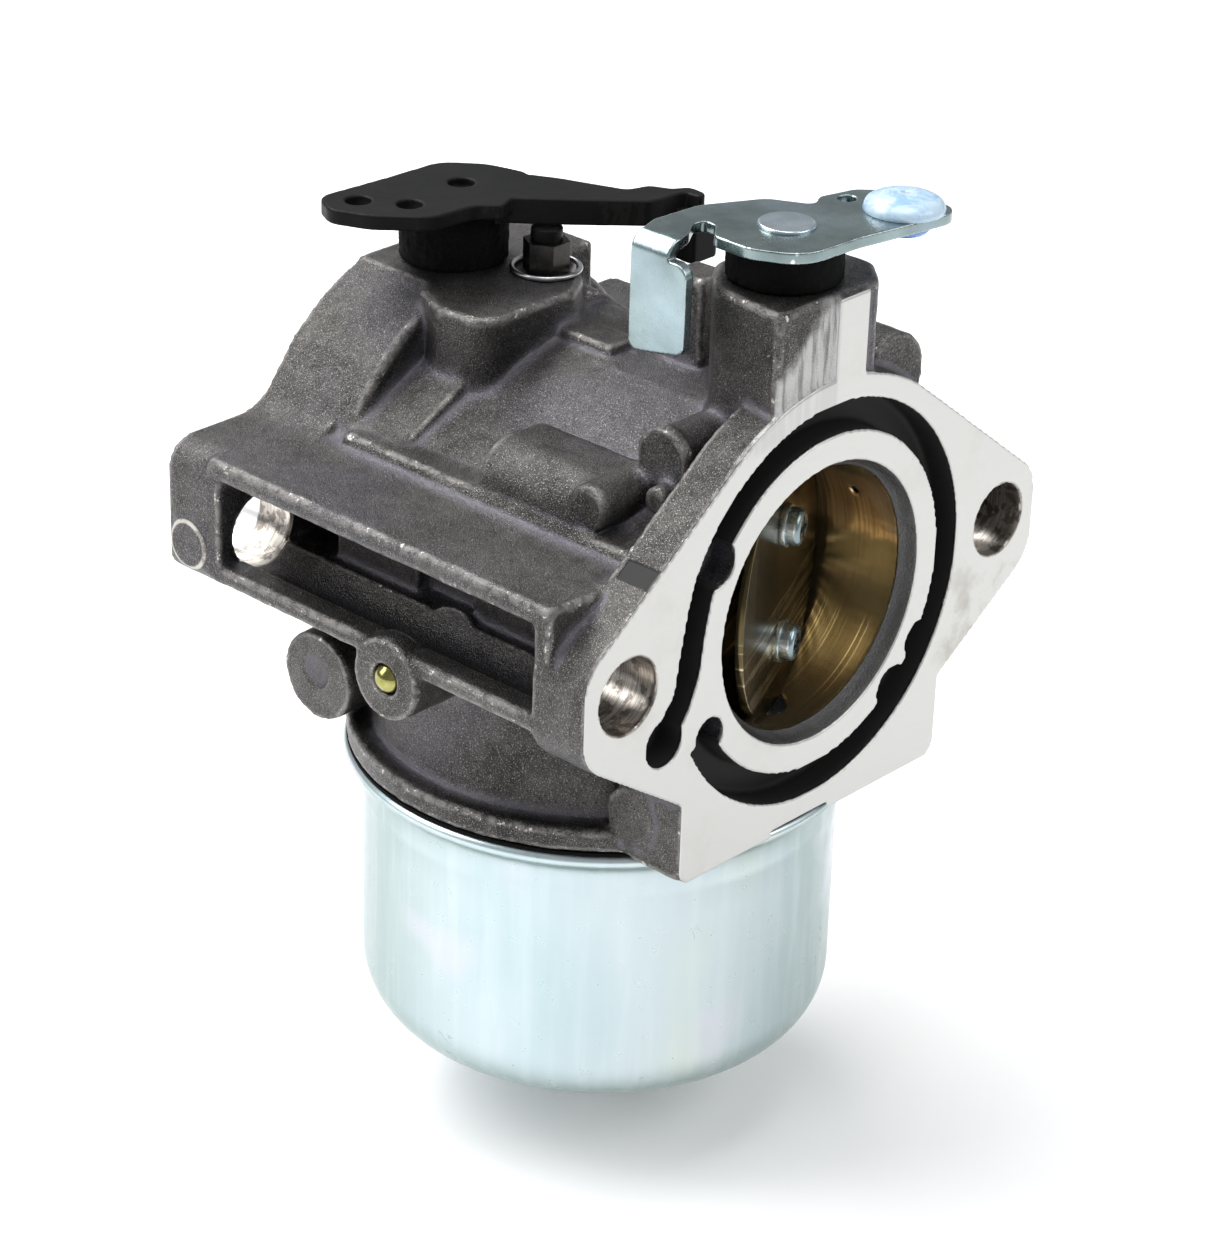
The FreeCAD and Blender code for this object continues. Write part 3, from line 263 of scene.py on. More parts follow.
    def pointiness(self):
        """Cycles' own measure of ridges: about 0.5 where the surface is flat."""
        return self.add("ShaderNodeNewGeometry").outputs["Pointiness"]

    def set(self, **values):
        for key, value in values.items():
            self.feed(self.shader.inputs[key.replace("_", " ")], value)
        return self.material


# ---------------------------------------------------------------------------
# Materials
# ---------------------------------------------------------------------------

def cast_skin(look, mottling, grain, sparkle):
    """Colour and roughness of the cast skin: mottled grey, bright specks, worn ridges, paler corners."""
    patches = look.noise(0.09, 3, 0.6)
    tone = look.math("ADD", look.product(patches, 0.42), look.math(
        "ADD", look.product(mottling, 0.33), look.product(grain, 0.25)))
    skin = look.mix(look.step(tone, 0.36, 0.64), (0.03, 0.0285, 0.026), (0.098, 0.0935, 0.087))
    violet = look.step(look.noise(0.06, 2, 0.5, shift=31.0), 0.42, 0.66, 0.0, 0.5)
    skin = look.mix(violet, skin, (0.08, 0.077, 0.09))
    flecks = look.step(sparkle, 0.56, 0.68)
    skin = look.mix(look.product(flecks, 0.6), skin, (0.46, 0.44, 0.45))
    pores = look.step(look.noise(4.0, 2, 0.6, shift=12.0), 0.44, 0.32)
    skin = look.mix(look.product(pores, 0.75), skin, (0.018, 0.018, 0.018))

    bend = look.curvature()
    rubbed = look.step(look.noise(0.7, 4, 0.7, shift=9.0), 0.38, 0.6, 0.15, 1)
    worn = look.product(look.step(bend, 0.3, 0.85), rubbed)
    skin = look.mix(look.product(worn, 0.7), skin, (0.25, 0.24, 0.23))
    nicked = look.step(look.noise(1.1, 4, 0.7, shift=3.0), 0.6, 0.68)
    chips = look.product(look.step(bend, 0.35, 0.8), nicked)
    skin = look.mix(look.product(chips, 0.8), skin, (0.8, 0.75, 0.7))
    corner = look.step(bend, -0.08, -0.45)
    skin = look.mix(look.product(corner, 0.6), skin, (0.14, 0.135, 0.158))

    pad_radius = look.distance_from_line("x", *EAR_PAD_YZ)
    outermost = look.step(look.math("ABSOLUTE", look.x), RAIL_END_X, RAIL_END_X + 0.3)
    pad_rim = look.product(look.within(pad_radius, 2.35, 2.75, 0.1), outermost)
    broken = look.step(mottling, 0.35, 0.55, 0.25, 0.9)
    skin = look.mix(look.product(pad_rim, broken), skin, (0.6, 0.57, 0.52))
    return skin, look.blend(look.step(tone, 0.3, 0.7), 0.42, 0.3)


def machined_face(look, cutter):
    """Colour of the milled faces: pale, stained towards the lower right, with fine cutter lines."""
    stains = look.step(look.noise(0.12, 5, 0.65, shift=4.0), 0.52, 0.72)
    low_right = look.step(look.math("SUBTRACT", look.x, look.z), 18, 38)
    dirt = look.product(stains, look.math("ADD", look.product(low_right, 0.6), 0.16))
    face = look.mix(dirt, (0.58, 0.58, 0.56), (0.34, 0.32, 0.28))
    specks = look.step(look.noise(0.9, 4, 0.6, shift=14.0), 0.7, 0.76)
    face = look.mix(look.product(specks, 0.4), face, (0.25, 0.24, 0.23))
    return look.mix(look.step(cutter, 0.45, 0.8, 0, 0.12), face, (0.5, 0.5, 0.5))


def rubbed_patch(look):
    """Mask of the streaky bright patch on the front of the throttle block, left of its machined strip."""
    block_front = look.product(look.step(look.y, 0.75, 0.5), look.step(look.z, 19.0, 20.5),
                               look.step(look.x, 0.6, 0.0))
    sloped = look.math("SUBTRACT", look.z, look.product(look.x, 0.9))
    ragged = look.math("ADD", sloped, look.product(look.noise(0.3, 3, 0.6), 8.0))
    streaky = look.noise(0.8, 3, 0.6, stretch=(1.6, 1, 0.15), shift=21.0)
    return look.product(block_front, look.step(ragged, 38.5, 35.0), look.step(streaky, 0.35, 0.55, 0.35, 1))


def bore_painted_reflections(look, rings):
    """Painted reflections in the main bore: a gold band across the middle stands for the reflected brass
    plate, painted dark olive shade lies above and below it, and painted glints sit low down.
    """
    smear = look.noise(0.16, 3, 0.6, distortion=0.8)
    painted_gold_reflection = look.mix(look.step(rings, 0.35, 0.7), (0.55, 0.34, 0.15), (0.95, 0.66, 0.34))
    painted_gold_reflection = look.mix(look.step(smear, 0.45, 0.72, 0, 0.5), painted_gold_reflection, (0.98, 0.82, 0.58))
    # Painted shade: above and below a wavy band the bore is painted dark olive, for the dark it reflects from
    # inside
    wavy_height = look.math("ADD", look.z, look.product(smear, 5.0))
    olive = look.opposite(look.within(wavy_height, 3.6, 11.5, 0.7))
    painted_gold_reflection = look.mix(look.product(olive, 0.85), painted_gold_reflection, (0.2, 0.175, 0.1))
    # Painted glints: bright gold marks low in the bore
    painted_glints = look.product(look.step(rings, 0.56, 0.66), look.within(look.z, -13.0, -7.5, 1.0))
    return look.mix(look.product(painted_glints, 0.8), painted_gold_reflection, (0.98, 0.85, 0.55))


def stud_hole_colour_and_reflection(look, turning):
    """Colour of the stud holes: turned rings with dark stains, and a painted near-white reflection at their
    rear ends in the ears.
    """
    turned = look.mix(look.step(turning, 0.35, 0.65), (0.3, 0.27, 0.24), (0.58, 0.54, 0.49))
    stains = look.step(look.noise(0.8, 3, 0.6, shift=8.0), 0.48, 0.6, 0, 0.75)
    turned = look.mix(stains, turned, (0.1, 0.085, 0.075))
    # Painted reflection: the rear ends of the holes, by the intake face, are painted near white
    return look.mix(look.step(look.y, 56.1, 56.5), turned, (0.93, 0.95, 0.96))


def casting_zones(look):
    """Masks of the stud holes, machined faces, gasket groove, main bore and the bore's mouth."""
    radius = look.distance_from_line("y", 0.0, 0.0)
    left = look.distance_from_line("y", -STUD_X, 0.0)
    right = look.distance_from_line("y", STUD_X, 0.0)
    nearest = look.math("MINIMUM", left, right)
    in_ears = look.either(look.step(look.y, 7.6, 7.1), look.step(look.y, 50.8, 51.3))
    stud = look.product(look.step(nearest, STUD_REACH, 4.12), in_ears)
    machined = look.either(look.step(look.y, FLANGE_FACE + 0.17, FLANGE_FACE + 0.1),
                           look.step(look.y, INTAKE_FACE - 0.15, INTAKE_FACE - 0.07))
    ring = look.product(look.within(radius, GROOVE_INNER, GROOVE_OUTER, 0.1),
                        look.within(look.y, 0.3, GROOVE_FLOOR, 0.12))
    tail = look.product(look.within(look.x, *TAIL_X, 0.1), look.within(look.z, *TAIL_Z, 0.1),
                        look.within(look.y, 0.3, TAIL_FLOOR, 0.12), look.step(radius, 17.2, 17.6),
                        look.opposite(stud))
    bore = look.product(look.step(radius, 14.25, 14.12), look.within(look.y, 1.75, 57.5, 0.1))
    mouth = look.product(look.step(radius, 15.3, 15.15), look.step(look.y, 0.12, 0.2),
                         look.step(look.y, 1.9, 1.7))
    return stud, machined, look.either(ring, tail), bore, mouth


def casting_look():
    """Die-cast body: grey cast skin, bright machined faces, a bore painted with gold reflections and painted
    shade, turned stud holes.
    """
    look = Look("die_cast")
    mottling = look.noise(0.55, 4, 0.65)
    grain = look.noise(3.6, 3, 0.7)
    sparkle = look.noise(7.5, 2, 0.6)
    cutter = look.noise(3.0, 1, 0.5, stretch=(0.05, 1, 1))
    rings = look.noise(1.0, 3, 0.65, stretch=(0.02, 2.4, 0.02))
    fine_rings = look.noise(1.0, 2, 0.6, stretch=(0.03, 9.0, 0.03))
    turning = look.noise(1.0, 2, 0.6, stretch=(0.2, 7.5, 0.2), shift=3.0)
    stud, machined, groove, bore, mouth = casting_zones(look)
    skin, skin_rough = cast_skin(look, mottling, grain, sparkle)

    colour = look.mix(machined, skin, machined_face(look, cutter))
    colour = look.mix(rubbed_patch(look), colour, (0.5, 0.5, 0.49))
    colour = look.mix(look.product(mouth, 0.75), colour, (0.1, 0.1, 0.1))
    # Painted shade: the gasket groove and its tail are coloured near black for the shade deep inside them
    colour = look.mix(groove, colour, (0.01, 0.01, 0.01))
    # The bore's colour is painted reflection and painted shade, not the metal's own tint
    colour = look.mix(bore, colour, bore_painted_reflections(look, rings))
    colour = look.mix(stud, colour, stud_hole_colour_and_reflection(look, turning))
    rough = look.blend(machined, skin_rough, 0.34)
    rough = look.blend(groove, rough, 0.7)
    rough = look.blend(bore, rough, 0.24)
    rough = look.blend(stud, rough, 0.3)
    metal = look.blend(groove, look.blend(machined, 0.88, 0.7), 0.1)

    cast_only = look.opposite(look.either(machined, bore, stud, groove))
    roughcast = look.math("ADD", look.product(grain, 0.5), look.math(
        "ADD", look.product(sparkle, 0.5), look.product(mottling, 0.8)))
    normal = look.bump(look.product(cast_only, roughcast), 0.2, 0.9)
    normal = look.bump(look.product(bore, look.math("ADD", fine_rings, rings)), 0.02, 0.6, normal)
    normal = look.bump(look.product(stud, turning), 0.03, 0.6, normal)
    normal = look.bump(look.product(machined, cutter), 0.012, 0.5, normal)
    return look.set(Base_Color=colour, Roughness=rough, Metallic=metal, Normal=normal)


def bowl_look():
    """Pale blue zinc plating with yellow-green iridescence, painted shade that darkens it towards its outline,
    and fine scratches.
    """
    look = Look("zinc_plated_bowl")
    clouds = look.noise(0.045, 3, 0.5, stretch=(1, 1, 0.6))
    base = look.mix(look.step(clouds, 0.35, 0.65), (0.46, 0.585, 0.615), (0.56, 0.65, 0.675))
    green = look.step(look.noise(0.06, 2, 0.5, shift=17.0, stretch=(1, 1, 0.35)), 0.5, 0.68, 0, 0.55)
    base = look.mix(green, base, (0.66, 0.74, 0.6))
    # Painted shade: the plating is darkened where the surface turns away from the camera, towards the bowl's
    # sides
    painted_shade_facing = look.add("ShaderNodeLayerWeight", Blend=0.5).outputs["Facing"]
    base = look.mix(look.step(painted_shade_facing, 0.2, 0.75, 0, 0.9), base, (0.3, 0.385, 0.38))
    pink = look.step(look.noise(0.07, 2, 0.5, shift=57.0), 0.56, 0.7, 0, 0.3)
    base = look.mix(pink, base, (0.74, 0.66, 0.78))
    streaks = look.noise(0.5, 3, 0.6, stretch=(1, 1, 0.08))
    base = look.mix(look.step(streaks, 0.4, 0.75, 0, 0.14), base, (0.85, 0.9, 0.92))
    wander = look.add("ShaderNodeTexNoise", Vector=look.place, Scale=0.5, Detail=3.0).outputs["Color"]
    bent_place = look.vector("ADD", look.place, look.vector("SCALE", wander, scale=3.5))
    web = look.add("ShaderNodeTexVoronoi", {"feature": "DISTANCE_TO_EDGE"}, Vector=bent_place, Scale=0.34)
    line = look.step(web.outputs["Distance"], 0.035, 0.01)
    here_and_there = look.step(look.noise(0.11, 2, 0.6, shift=43.0), 0.66, 0.7)
    scratch = look.product(line, here_and_there)
    base = look.mix(look.product(scratch, 0.65), base, (0.2, 0.24, 0.26))
    rough = look.math("ADD", look.product(look.noise(0.6, 4, 0.6), 0.16), 0.22)
    ripple = look.bump(look.noise(0.1, 2, 0.5), 0.1, 0.5)
    normal = look.bump(look.math("SUBTRACT", streaks, look.product(scratch, 2.0)), 0.006, 0.5, ripple)
    return look.set(Base_Color=base, Roughness=rough, Metallic=0.72, Normal=normal)


def plated_look(name, light, dark, rough=0.2, blue=(0.42, 0.53, 0.6), depth=0.03):
    """Bright zinc plating on pressed or turned steel, brighter and rubbed on the edges."""
    look = Look(name)
    clouds = look.noise(0.12, 3, 0.55)
    base = look.mix(look.step(clouds, 0.35, 0.7), light, dark)
    base = look.mix(look.step(look.noise(0.08, 2, 0.5, shift=23.0), 0.42, 0.64, 0, 0.5), base, blue)
    worn = look.step(look.pointiness(), 0.52, 0.58)
    base = look.mix(look.product(worn, 0.7), base, (0.93, 0.94, 0.93))
    pits = look.step(look.noise(1.8, 3, 0.6, shift=5.0), 0.66, 0.74)
    base = look.mix(look.product(pits, 0.35), base, (0.18, 0.2, 0.22))
    wander = look.noise(0.35, 3, 0.5)
    normal = look.bump(wander, depth * 4, 0.5)
    normal = look.bump(look.noise(2.5, 2, 0.6), depth, 0.3, normal)
    roughness = look.math("ADD", look.product(look.noise(0.8, 3, 0.6, shift=2.0), 0.2), rough - 0.08)
    return look.set(Base_Color=base, Roughness=roughness, Metallic=0.95, Normal=normal)


def metal_look(name, light, dark, rough=0.3, stretch=(1, 1, 1), metallic=1.0):
    """Turned or drawn metal with tool marks and slight tarnish."""
    look = Look(name)
    tarnish = look.noise(0.3, 4, 0.6)
    marks = look.noise(2.5, 3, 0.6, stretch=stretch)
    base = look.mix(look.step(tarnish, 0.35, 0.68), light, dark)
    base = look.mix(look.step(marks, 0.4, 0.75, 0, 0.35), base, dark)
    roughness = look.math("ADD", look.product(tarnish, 0.2), rough - 0.08)
    return look.set(Base_Color=base, Roughness=roughness, Metallic=metallic,
                    Normal=look.bump(marks, 0.02, 0.5))


def plate_look():
    """Rolled brass-coloured sheet with faint lines, warm reflections and painted bright bands of reflection
    across its lower half.
    """
    look = Look("plated_plate")
    lines = look.noise(1.0, 3, 0.6, stretch=(5.0, 5.0, 0.12))
    broad = look.noise(0.13, 2, 0.5, stretch=(1.5, 1.5, 0.4), shift=8.0)
    base = look.mix(look.step(broad, 0.35, 0.68), (0.075, 0.06, 0.028), (0.26, 0.2, 0.1))
    base = look.mix(look.step(lines, 0.35, 0.75, 0, 0.5), base, (0.05, 0.04, 0.02))
    stain = look.step(look.noise(0.5, 4, 0.6, shift=19.0), 0.6, 0.7, 0, 0.4)
    base = look.mix(stain, base, (0.04, 0.033, 0.02))
    # Painted highlight: bright horizontal bands across the lower half of the plate
    bands = look.noise(1.0, 2, 0.6, stretch=(0.05, 0.05, 1.1), shift=2.0)
    painted_highlight_bands = look.product(look.step(bands, 0.52, 0.64), look.within(look.z, -13.0, -1.0, 0.8))
    base = look.mix(look.product(painted_highlight_bands, 0.7), base, (0.8, 0.7, 0.48))
    roughness = look.math("ADD", look.product(lines, 0.14), 0.16)
    return look.set(Base_Color=base, Roughness=roughness, Metallic=1.0, Normal=look.bump(lines, 0.012, 0.5))


PLASTIC_GLOSS = 0.08


def plastic_look(name, colour, grey, rough=0.42, grain=2.2, depth=0.02):
    """Moulded plastic or rubber: slight flow marks, dust and rubbed edges."""
    look = Look(name)
    flow = look.noise(0.25, 3, 0.6)
    dust = look.step(look.noise(1.6, 4, 0.7, shift=6.0), 0.62, 0.72)
    base = look.mix(look.product(flow, 0.5), colour, grey)
    base = look.mix(look.product(dust, 0.22), base, grey)
    base = look.mix(look.step(look.pointiness(), 0.52, 0.6, 0, 0.4), base, grey)
    texture = look.noise(grain, 3, 0.6)
    roughness = look.math("ADD", look.product(flow, 0.14), rough - 0.07)
    look.shader.inputs["Specular IOR Level"].default_value = PLASTIC_GLOSS
    return look.set(Base_Color=base, Roughness=roughness, Normal=look.bump(texture, depth, 0.6))


def felt_look(name, colour, fluff):
    """Matted fibres with paler hairs."""
    look = Look(name)
    hairs = look.noise(3.0, 5, 0.75, distortion=1.5)
    clumps = look.noise(0.9, 3, 0.6)
    base = look.mix(look.step(hairs, 0.5, 0.75), colour, fluff)
    base = look.mix(look.product(clumps, 0.3), base, colour)
    normal = look.bump(look.math("ADD", hairs, clumps), 0.15, 0.8)
    look.shader.inputs["Sheen Weight"].default_value = 0.03
    look.shader.inputs["Specular IOR Level"].default_value = 0.1
    look.shader.inputs["Sheen Roughness"].default_value = 0.5
    return look.set(Base_Color=base, Roughness=look.blend(clumps, 0.8, 0.95), Normal=normal)


def nylon_look():
    """Translucent bluish-white moulding, deep blue round its lower rim."""
    look = Look("nylon")
    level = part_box("link_bushing")[0].z / MM
    rim = look.step(look.z, level + 2.2, level + 0.9)
    swirl = look.noise(0.5, 3, 0.6, distortion=1.0)
    base = look.mix(look.step(swirl, 0.35, 0.65), (0.28, 0.45, 0.62), (0.5, 0.63, 0.74))
    base = look.mix(look.product(rim, 0.85), base, (0.06, 0.22, 0.6))
    look.shader.inputs["Subsurface Weight"].default_value = 0.35
    look.shader.inputs["Subsurface Radius"].default_value = (0.3, 0.6, 1.0)
    look.shader.inputs["Subsurface Scale"].default_value = 0.0015
    look.shader.inputs["Coat Weight"].default_value = 0.4
    roughness = look.blend(swirl, 0.16, 0.32)
    return look.set(Base_Color=base, Roughness=roughness, Normal=look.bump(swirl, 0.12, 0.6))


def floor_look():
    """Plain white paper that glows a little, so it stays pale under the object."""
    look = Look("floor")
    paper = look.noise(0.02, 3, 0.5)
    look.shader.inputs["Emission Color"].default_value = (1, 1, 1, 1)
    look.shader.inputs["Emission Strength"].default_value = 0.08
    return look.set(Base_Color=look.mix(paper, (0.9, 0.9, 0.9), (0.93, 0.93, 0.93)), Roughness=0.9,
                    Normal=look.bump(look.noise(0.6, 2, 0.5), 0.02, 0.2))


LOOKS = {
    "zinc_plated_steel": plated_look("zinc_plated_steel", (0.26, 0.33, 0.33), (0.16, 0.21, 0.215), 0.24),
    "steel": metal_look("steel", (0.62, 0.63, 0.64), (0.34, 0.34, 0.35), 0.28),
    "brass": metal_look("brass", (0.78, 0.58, 0.27), (0.42, 0.28, 0.1), 0.26),
    "plated_plate": plate_look(),
    "black_plastic": plastic_look("black_plastic", (0.004, 0.004, 0.004), (0.02, 0.02, 0.019)),
    "nylon": nylon_look(),
    "black_rubber": plastic_look("black_rubber", (0.002, 0.002, 0.002), (0.007, 0.007, 0.007), 0.8, 1.6, 0.06),
    "felt": felt_look("felt", (0.003, 0.003, 0.003), (0.014, 0.014, 0.013)),
    "fibre": felt_look("fibre", (0.32, 0.06, 0.035), (0.5, 0.16, 0.1)),
    "float_plastic": plastic_look("float_plastic", (0.015, 0.015, 0.015), (0.08, 0.08, 0.08), 0.55, 1.2, 0.05),
    "die_cast": casting_look(),
    "zinc_plated_bowl": bowl_look(),
}
DARK_STEEL = metal_look("blackened_steel", (0.09, 0.085, 0.08), (0.03, 0.03, 0.03), 0.34)
OLIVE_BRASS = metal_look("olive_brass", (0.42, 0.4, 0.14), (0.16, 0.15, 0.05), 0.16)
SHAFT_STEEL = plated_look("shaft_steel", (0.6, 0.68, 0.74), (0.42, 0.5, 0.56), 0.24)


def dress(item, material):
    """Give a piece one material."""
    item.data.materials.clear()
    item.data.materials.append(material)


# ---------------------------------------------------------------------------
# Pieces
# ---------------------------------------------------------------------------

def shown(name, mesh, material):
    """A new piece in the scene."""
    item = bpy.data.objects.new(name, mesh)
    bpy.context.scene.collection.objects.link(item)
    dress(item, material)
    return item


def stand_for(item, node, body):
    """Show a piece in the place of a CAD node, on that node's body."""
    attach(item, body)
    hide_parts(node)
    return item


def shade_smooth(mesh):
    """Shade every face of a mesh smoothly."""
    mesh.polygons.foreach_set("use_smooth", np.ones(len(mesh.polygons), bool))


def settle(item):
    """Apply the modifiers of a piece."""
    graph = bpy.context.evaluated_depsgraph_get()
    mesh = bpy.data.meshes.new_from_object(item.evaluated_get(graph))
    item.modifiers.clear()
    item.data = mesh


def points_mm(item):
    """The piece's points in millimetres, one row each."""
    flat = np.zeros(len(item.data.vertices) * 3)
    item.data.vertices.foreach_get("co", flat)
    return flat.reshape(-1, 3) / MM


FILL_SHARE = 0.6
CURVATURE_ROUNDS = 4


class Net:
    """The points of a dense mesh, the way they are joined, and each point's outward direction."""

    def __init__(self, mesh):
        self.mesh = mesh
        self.count = len(mesh.vertices)
        ends = np.zeros(len(mesh.edges) * 2, np.int64)
        mesh.edges.foreach_get("vertices", ends)
        self.first, self.second = ends.reshape(-1, 2).T
        self.degree = np.maximum(np.bincount(ends, minlength=self.count), 1)
        self.points = self.read(mesh.vertices, "co") / MM
        self.outward = self.read(mesh.vertex_normals, "vector")
        self.spacing = np.linalg.norm(self.points[self.first] - self.points[self.second], axis=1).mean()

    def read(self, source, name):
        flat = np.zeros(self.count * 3)
        source.foreach_get(name, flat)
        return flat.reshape(-1, 3)

    def around(self, values):
        """Mean of the neighbours' values."""
        return (np.bincount(self.first, values[self.second], self.count)
                + np.bincount(self.second, values[self.first], self.count)) / self.degree

    def lift(self):
        """How far the middle of its neighbours stands outward from each point."""
        total = np.zeros(self.count)
        for axis in range(3):
            column = self.points[:, axis]
            total += (self.around(column) - column) * self.outward[:, axis]
        return total

    def fill(self, rounds, amount):
        """Fill inside corners to a cast radius and leave outside edges alone."""
        for _ in range(rounds):
            rise = np.maximum(self.lift(), 0) * amount * FILL_SHARE
            self.points += self.outward * rise[:, None]
        self.mesh.vertices.foreach_set("co", (self.points * MM).ravel())
        self.mesh.update()

    def record_curvature(self):
        """Store the surface's bend at each point, slightly evened out, for the material."""
        bend = -4 * self.lift() / self.spacing ** 2
        for _ in range(CURVATURE_ROUNDS):
            bend = 0.5 * bend + 0.5 * self.around(bend)
        store = self.mesh.attributes.new("curvature", "FLOAT", "POINT")
        store.data.foreach_set("value", bend)


def skin_of(node, name, voxel, rounds, material, body, wave=None, hold=None, fillet=0):
    """A finer, softer surface over a CAD node: an even mesh whose edges are worn round.

    wave is (feature size, height) of the surface's unevenness in millimetres. hold gives, from the
    points, two numbers from 0 to 1: how far each may soften, and how far it may fill.
    """
    item = shown(name, NODES[node].data.copy(), material)
    remesh = item.modifiers.new("even", "REMESH")
    remesh.mode = "VOXEL"
    remesh.voxel_size = voxel * MM
    remesh.use_smooth_shade = True
    settle(item)
    ones = np.ones(len(item.data.vertices))
    amount, filling = hold(points_mm(item)) if hold else (ones, ones)
    if fillet:
        Net(item.data).fill(fillet, filling)
    free = item.vertex_groups.new(name="free")
    for level in np.unique(amount):
        if level > 0:
            free.add(np.nonzero(amount == level)[0].tolist(), float(level), "REPLACE")
    smooth = item.modifiers.new("worn", "SMOOTH")
    smooth.factor = 0.5
    smooth.iterations = rounds
    smooth.vertex_group = "free"
    settle(item)
    Net(item.data).record_curvature()
    if wave:
        size, height = wave
        texture = bpy.data.textures.new(name + "_wave", "CLOUDS")
        texture.noise_scale = size * MM
        texture.noise_depth = 2
        displace = item.modifiers.new("uneven", "DISPLACE")
        displace.texture = texture
        displace.texture_coords = "LOCAL"
        displace.strength = height * MM
        displace.mid_level = 0.5
        displace.vertex_group = "free"
        settle(item)
    shade_smooth(item.data)
    dress(item, material)
    return stand_for(item, node, body)


CRISP, FIRM = 0.12, 0.2


def cast_freedom(points):
    """Machined faces and bores stay crisp; cast surfaces soften, and their inside corners fill."""
    x, y, z = points.T
    radius = np.hypot(x, z)
    stud = np.hypot(np.abs(x) - STUD_X, z)
    groove_depth = y < 4
    amount = np.ones(len(points))
    amount[(radius > 17.4) & (radius < 26) & groove_depth & (x < 26) & (z > -16)] = FIRM
    amount[(radius > 17.4) & (radius < 22) & groove_depth] = FIRM
    amount[(y < FLANGE_FACE + 0.3) | (y > INTAKE_FACE - 0.3)] = CRISP
    amount[(radius < 14.4) & (y > 1.4)] = CRISP
    amount[stud < STUD_REACH] = CRISP

    filling = np.ones(len(points))
    filling[(radius < 17.75) | (stud < 5.2) | (y < 4.2) | (y > 58.3) | (z < -22.6)] = 0
    chamber = np.hypot(x - BOWL_AXIS.x, y - BOWL_AXIS.y) < 23.2
    filling[(z < -17) & chamber] = 0
    bores = [(x, y, (0.0, THROTTLE_Y), 4.0), (x, y, (0.0, CHOKE_Y), 4.0), (x, y, SCREW_XY, 2.6),
             (y, z, BALL_YZ, 2.7), (y, z, RIGHT_BOSS_YZ, 3.4)]
    for across, along, (a, b), reach in bores:
        filling[np.hypot(across - a, along - b) < reach] = 0
    return amount, filling


def lathe(name, outline, centre, material, body, node, turns):
    """A turned piece from a closed outline of (radius, height) in millimetres."""
    rows = len(outline)
    verts = []
    for step in range(turns):
        angle = 2 * math.pi * step / turns
        for radius, height in outline:
            across = centre[0] + radius * math.cos(angle)
            along = centre[1] + radius * math.sin(angle)
            verts.append((across * MM, along * MM, height * MM))
    faces = []
    for step in range(turns):
        here = step * rows
        there = ((step + 1) % turns) * rows
        for row in range(rows):
            after = (row + 1) % rows
            faces.append((here + row, there + row, there + after, here + after))
    mesh = bpy.data.meshes.new(name)
    mesh.from_pydata(verts, [], faces)
    mesh.update()
    item = shown(name, mesh, material)
    shade_smooth(mesh)
    return stand_for(item, node, body)


def box_mm(node):
    """The corners of a round node's box in millimetres, its centre in plan and its radius."""
    low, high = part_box(node)
    low, high = low / MM, high / MM
    return low, high, ((low.x + high.x) / 2, (low.y + high.y) / 2), (high.x - low.x) / 2


def arc(centre_r, centre_z, radius, start, end, steps):
    """Points on an arc of a profile; angles in degrees, 0 outward and 90 up."""
    angles = [math.radians(start + (end - start) * i / steps) for i in range(steps + 1)]
    return [(centre_r + radius * math.cos(a), centre_z + radius * math.sin(a)) for a in angles]


def make_bowl():
    """Pressed cup: rolled rim, a faint bead below it, round bottom corner, a hole for the nut."""
    low, high, centre, rim = box_mm("float_bowl")
    floor, top = low.z, high.z
    wall, roll, bend = 0.8, 0.72, 6.8
    outer = rim - 2.05
    outside = [(outer - wall, top - 0.02), (rim - 0.7, top - 0.02)]
    outside += arc(rim - roll, top - 0.74, roll, 80, -70, 8)
    below_rim = [(0.75, 2.05), (0.35, 2.5), (0.12, 3.1), (0.02, 4.0), (0.0, 5.2), (0.06, 5.6), (-0.03, 6.1),
                 (-0.03, 9.0), (-0.02, 14.0), (-0.02, 20.0)]
    outside += [(rim - 0.9, top - 1.75)] + [(outer + swell, top - depth) for swell, depth in below_rim]
    outside += arc(outer - bend - 0.02, floor + bend + 0.02, bend, 0, -90, 14)
    bottom = [(14.0, floor + 0.02), (9.2, floor + 0.02), (4.1, floor + 0.02), (4.05, floor + wall)]
    inside = [(9.2, floor + wall), (14.0, floor + wall)]
    inside += arc(outer - bend, floor + bend, bend - wall, -90, 0, 10)
    inside += [(outer - wall, top - 12.0), (outer - wall, top - 5.0)]
    return lathe("bowl_pressing", outside + bottom + inside, centre, LOOKS["zinc_plated_bowl"], "casting",
                 "float_bowl", 256)


def make_bushing():
    """Snap bushing: low dome over a thin skirt, with the blind hole for the link below."""
    low, high, centre, wide = box_mm("link_bushing")
    top = high.z
    step = low.z + 2.1
    hole = 1.27
    rise = top - step - 0.12
    crown = [(0.02, top)] + [(wide * 0.98 * math.sin(t), step + 0.12 + rise * math.cos(t) ** 0.75)
                             for t in (0.2, 0.4, 0.6, 0.8, 1.0, 1.2, 1.35, 1.48)]
    skirt = [(wide, step + 0.05), (wide - 0.1, step), (2.58, step), (2.58, step - 1.2), (2.95, step - 1.4)]
    bore = [(2.5, low.z), (hole, low.z), (hole, step + 0.15), (0.02, step + 0.15)]
    return lathe("bushing_dome", crown + skirt + bore, centre, LOOKS["nylon"], "throttle",
                 "link_bushing", 96)


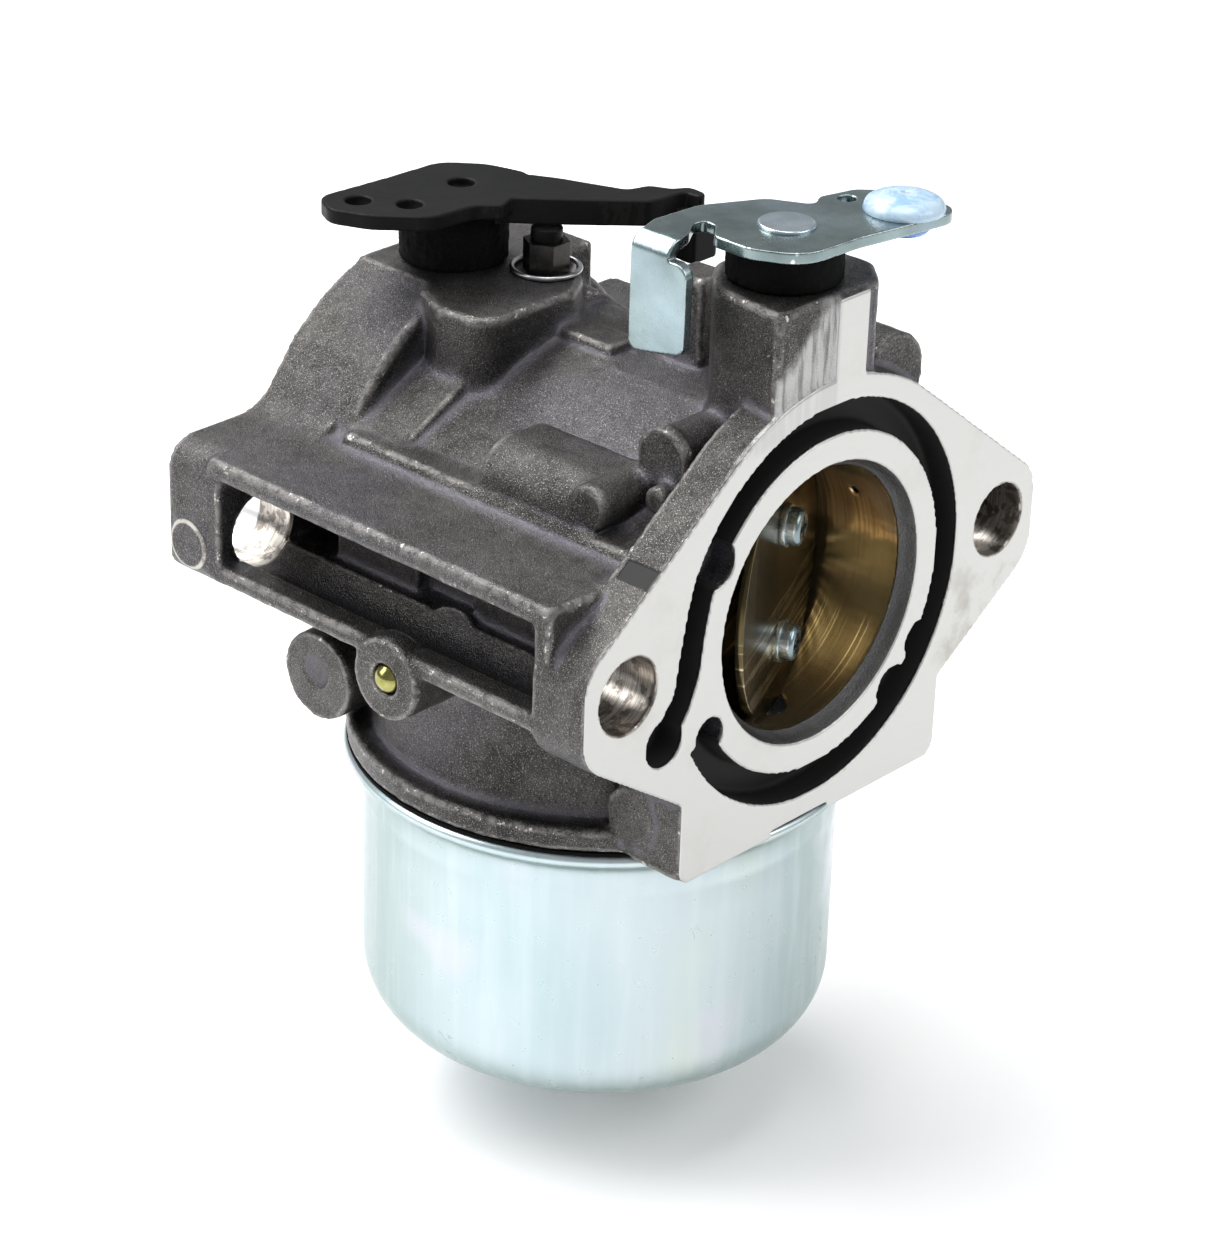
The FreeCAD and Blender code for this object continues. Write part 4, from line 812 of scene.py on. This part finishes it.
def keep_node(node, material, bevel):
    """A CAD node that stays, with its own look and edges broken by `bevel` millimetres."""
    item = NODES[node]
    dress(item, material)
    if bevel:
        weld = item.modifiers.new("weld", "WELD")
        weld.merge_threshold = 0.00001
        edges = item.modifiers.new("broken_edges", "BEVEL")
        edges.width = bevel * MM
        edges.segments = 2
        edges.limit_method = "ANGLE"
        edges.angle_limit = math.radians(35)
        edges.harden_normals = False


def make_floor():
    """A wide flat sheet at the foot of the object."""
    low, high = cad_box
    level = min(low[2], high[2])
    half = 3
    corners = [(-half, -half, level), (half, -half, level), (half, half, level), (-half, half, level)]
    mesh = bpy.data.meshes.new("floor")
    mesh.from_pydata(corners, [], [(0, 1, 2, 3)])
    shown("floor", mesh, floor_look())


def make_sky(colour, strength):
    """Even light from all round."""
    world = bpy.data.worlds.new("world")
    bpy.context.scene.world = world
    world.use_nodes = True
    background = world.node_tree.nodes["Background"]
    background.inputs["Color"].default_value = colour
    background.inputs["Strength"].default_value = strength


# ---------------------------------------------------------------------------
# The scene
# ---------------------------------------------------------------------------

make_camera()
make_floor()

skin_of("carb_body", "casting_skin", 0.25, 9, LOOKS["die_cast"], "casting",
        (2.6, 0.16), cast_freedom, fillet=45)
make_bowl()
make_bushing()
skin_of("throttle_lever", "lever_pressing", 0.12, 5, LOOKS["zinc_plated_steel"], "throttle",
        (3.0, 0.05))
skin_of("choke_lever", "choke_moulding", 0.14, 4, LOOKS["black_plastic"], "choke",
        (3.0, 0.05))
skin_of("choke_shaft_felt", "felt_washer", 0.2, 4, LOOKS["felt"], "casting", (0.8, 0.35))
skin_of("throttle_shaft_seal", "shaft_seal_ring", 0.2, 4, LOOKS["black_rubber"], "casting",
        (0.9, 0.25))

# Nodes whose look or broken edge (in millimetres) is not the usual one of their material
PLAIN_EDGE = 0.05
SPECIAL = {
    "throttle_shaft": (SHAFT_STEEL, 0.0),
    "throttle_plate": (LOOKS["plated_plate"], 0.12),
    "throttle_plate_screws": (LOOKS["zinc_plated_steel"], 0.0),
    "screw_lock_washers": (LOOKS["zinc_plated_steel"], 0.06),
    "idle_mixture_screw": (DARK_STEEL, 0.12),
    "ball_plug": (OLIVE_BRASS, 0.0),
    "bowl_nut": (LOOKS["zinc_plated_steel"], 0.12),
}
REPLACED = {"carb_body", "float_bowl", "link_bushing", "throttle_lever", "choke_lever", "choke_shaft_felt",
            "throttle_shaft_seal"}
slots = {entry["node"]: entry["material_slot"] for entry in frame["record"]["subparts"]}
for node in sorted(NODES):
    if node not in REPLACED:
        material, bevel = SPECIAL.get(node, (LOOKS[slots[node]], PLAIN_EDGE))
        keep_node(node, material, bevel)

make_sky((0.97, 0.98, 1, 1), 0.38)
softbox("back_softbox", (-0.12, 0.6, 0.78), 0.9, 1.1, 0.34, 8.4)
softbox("left_softbox", (-0.64, 0.58, 0.5), 0.9, 0.45, 0.4, 4.6)
softbox("top_softbox", (0.0, -0.05, 1.0), 1.0, 0.6, 0.6, 3.4)
softbox("front_softbox", (0.45, -0.95, 0.8), 1.1, 0.8, 0.6, 2.6)
bpy.context.scene.view_settings.view_transform = "Standard"
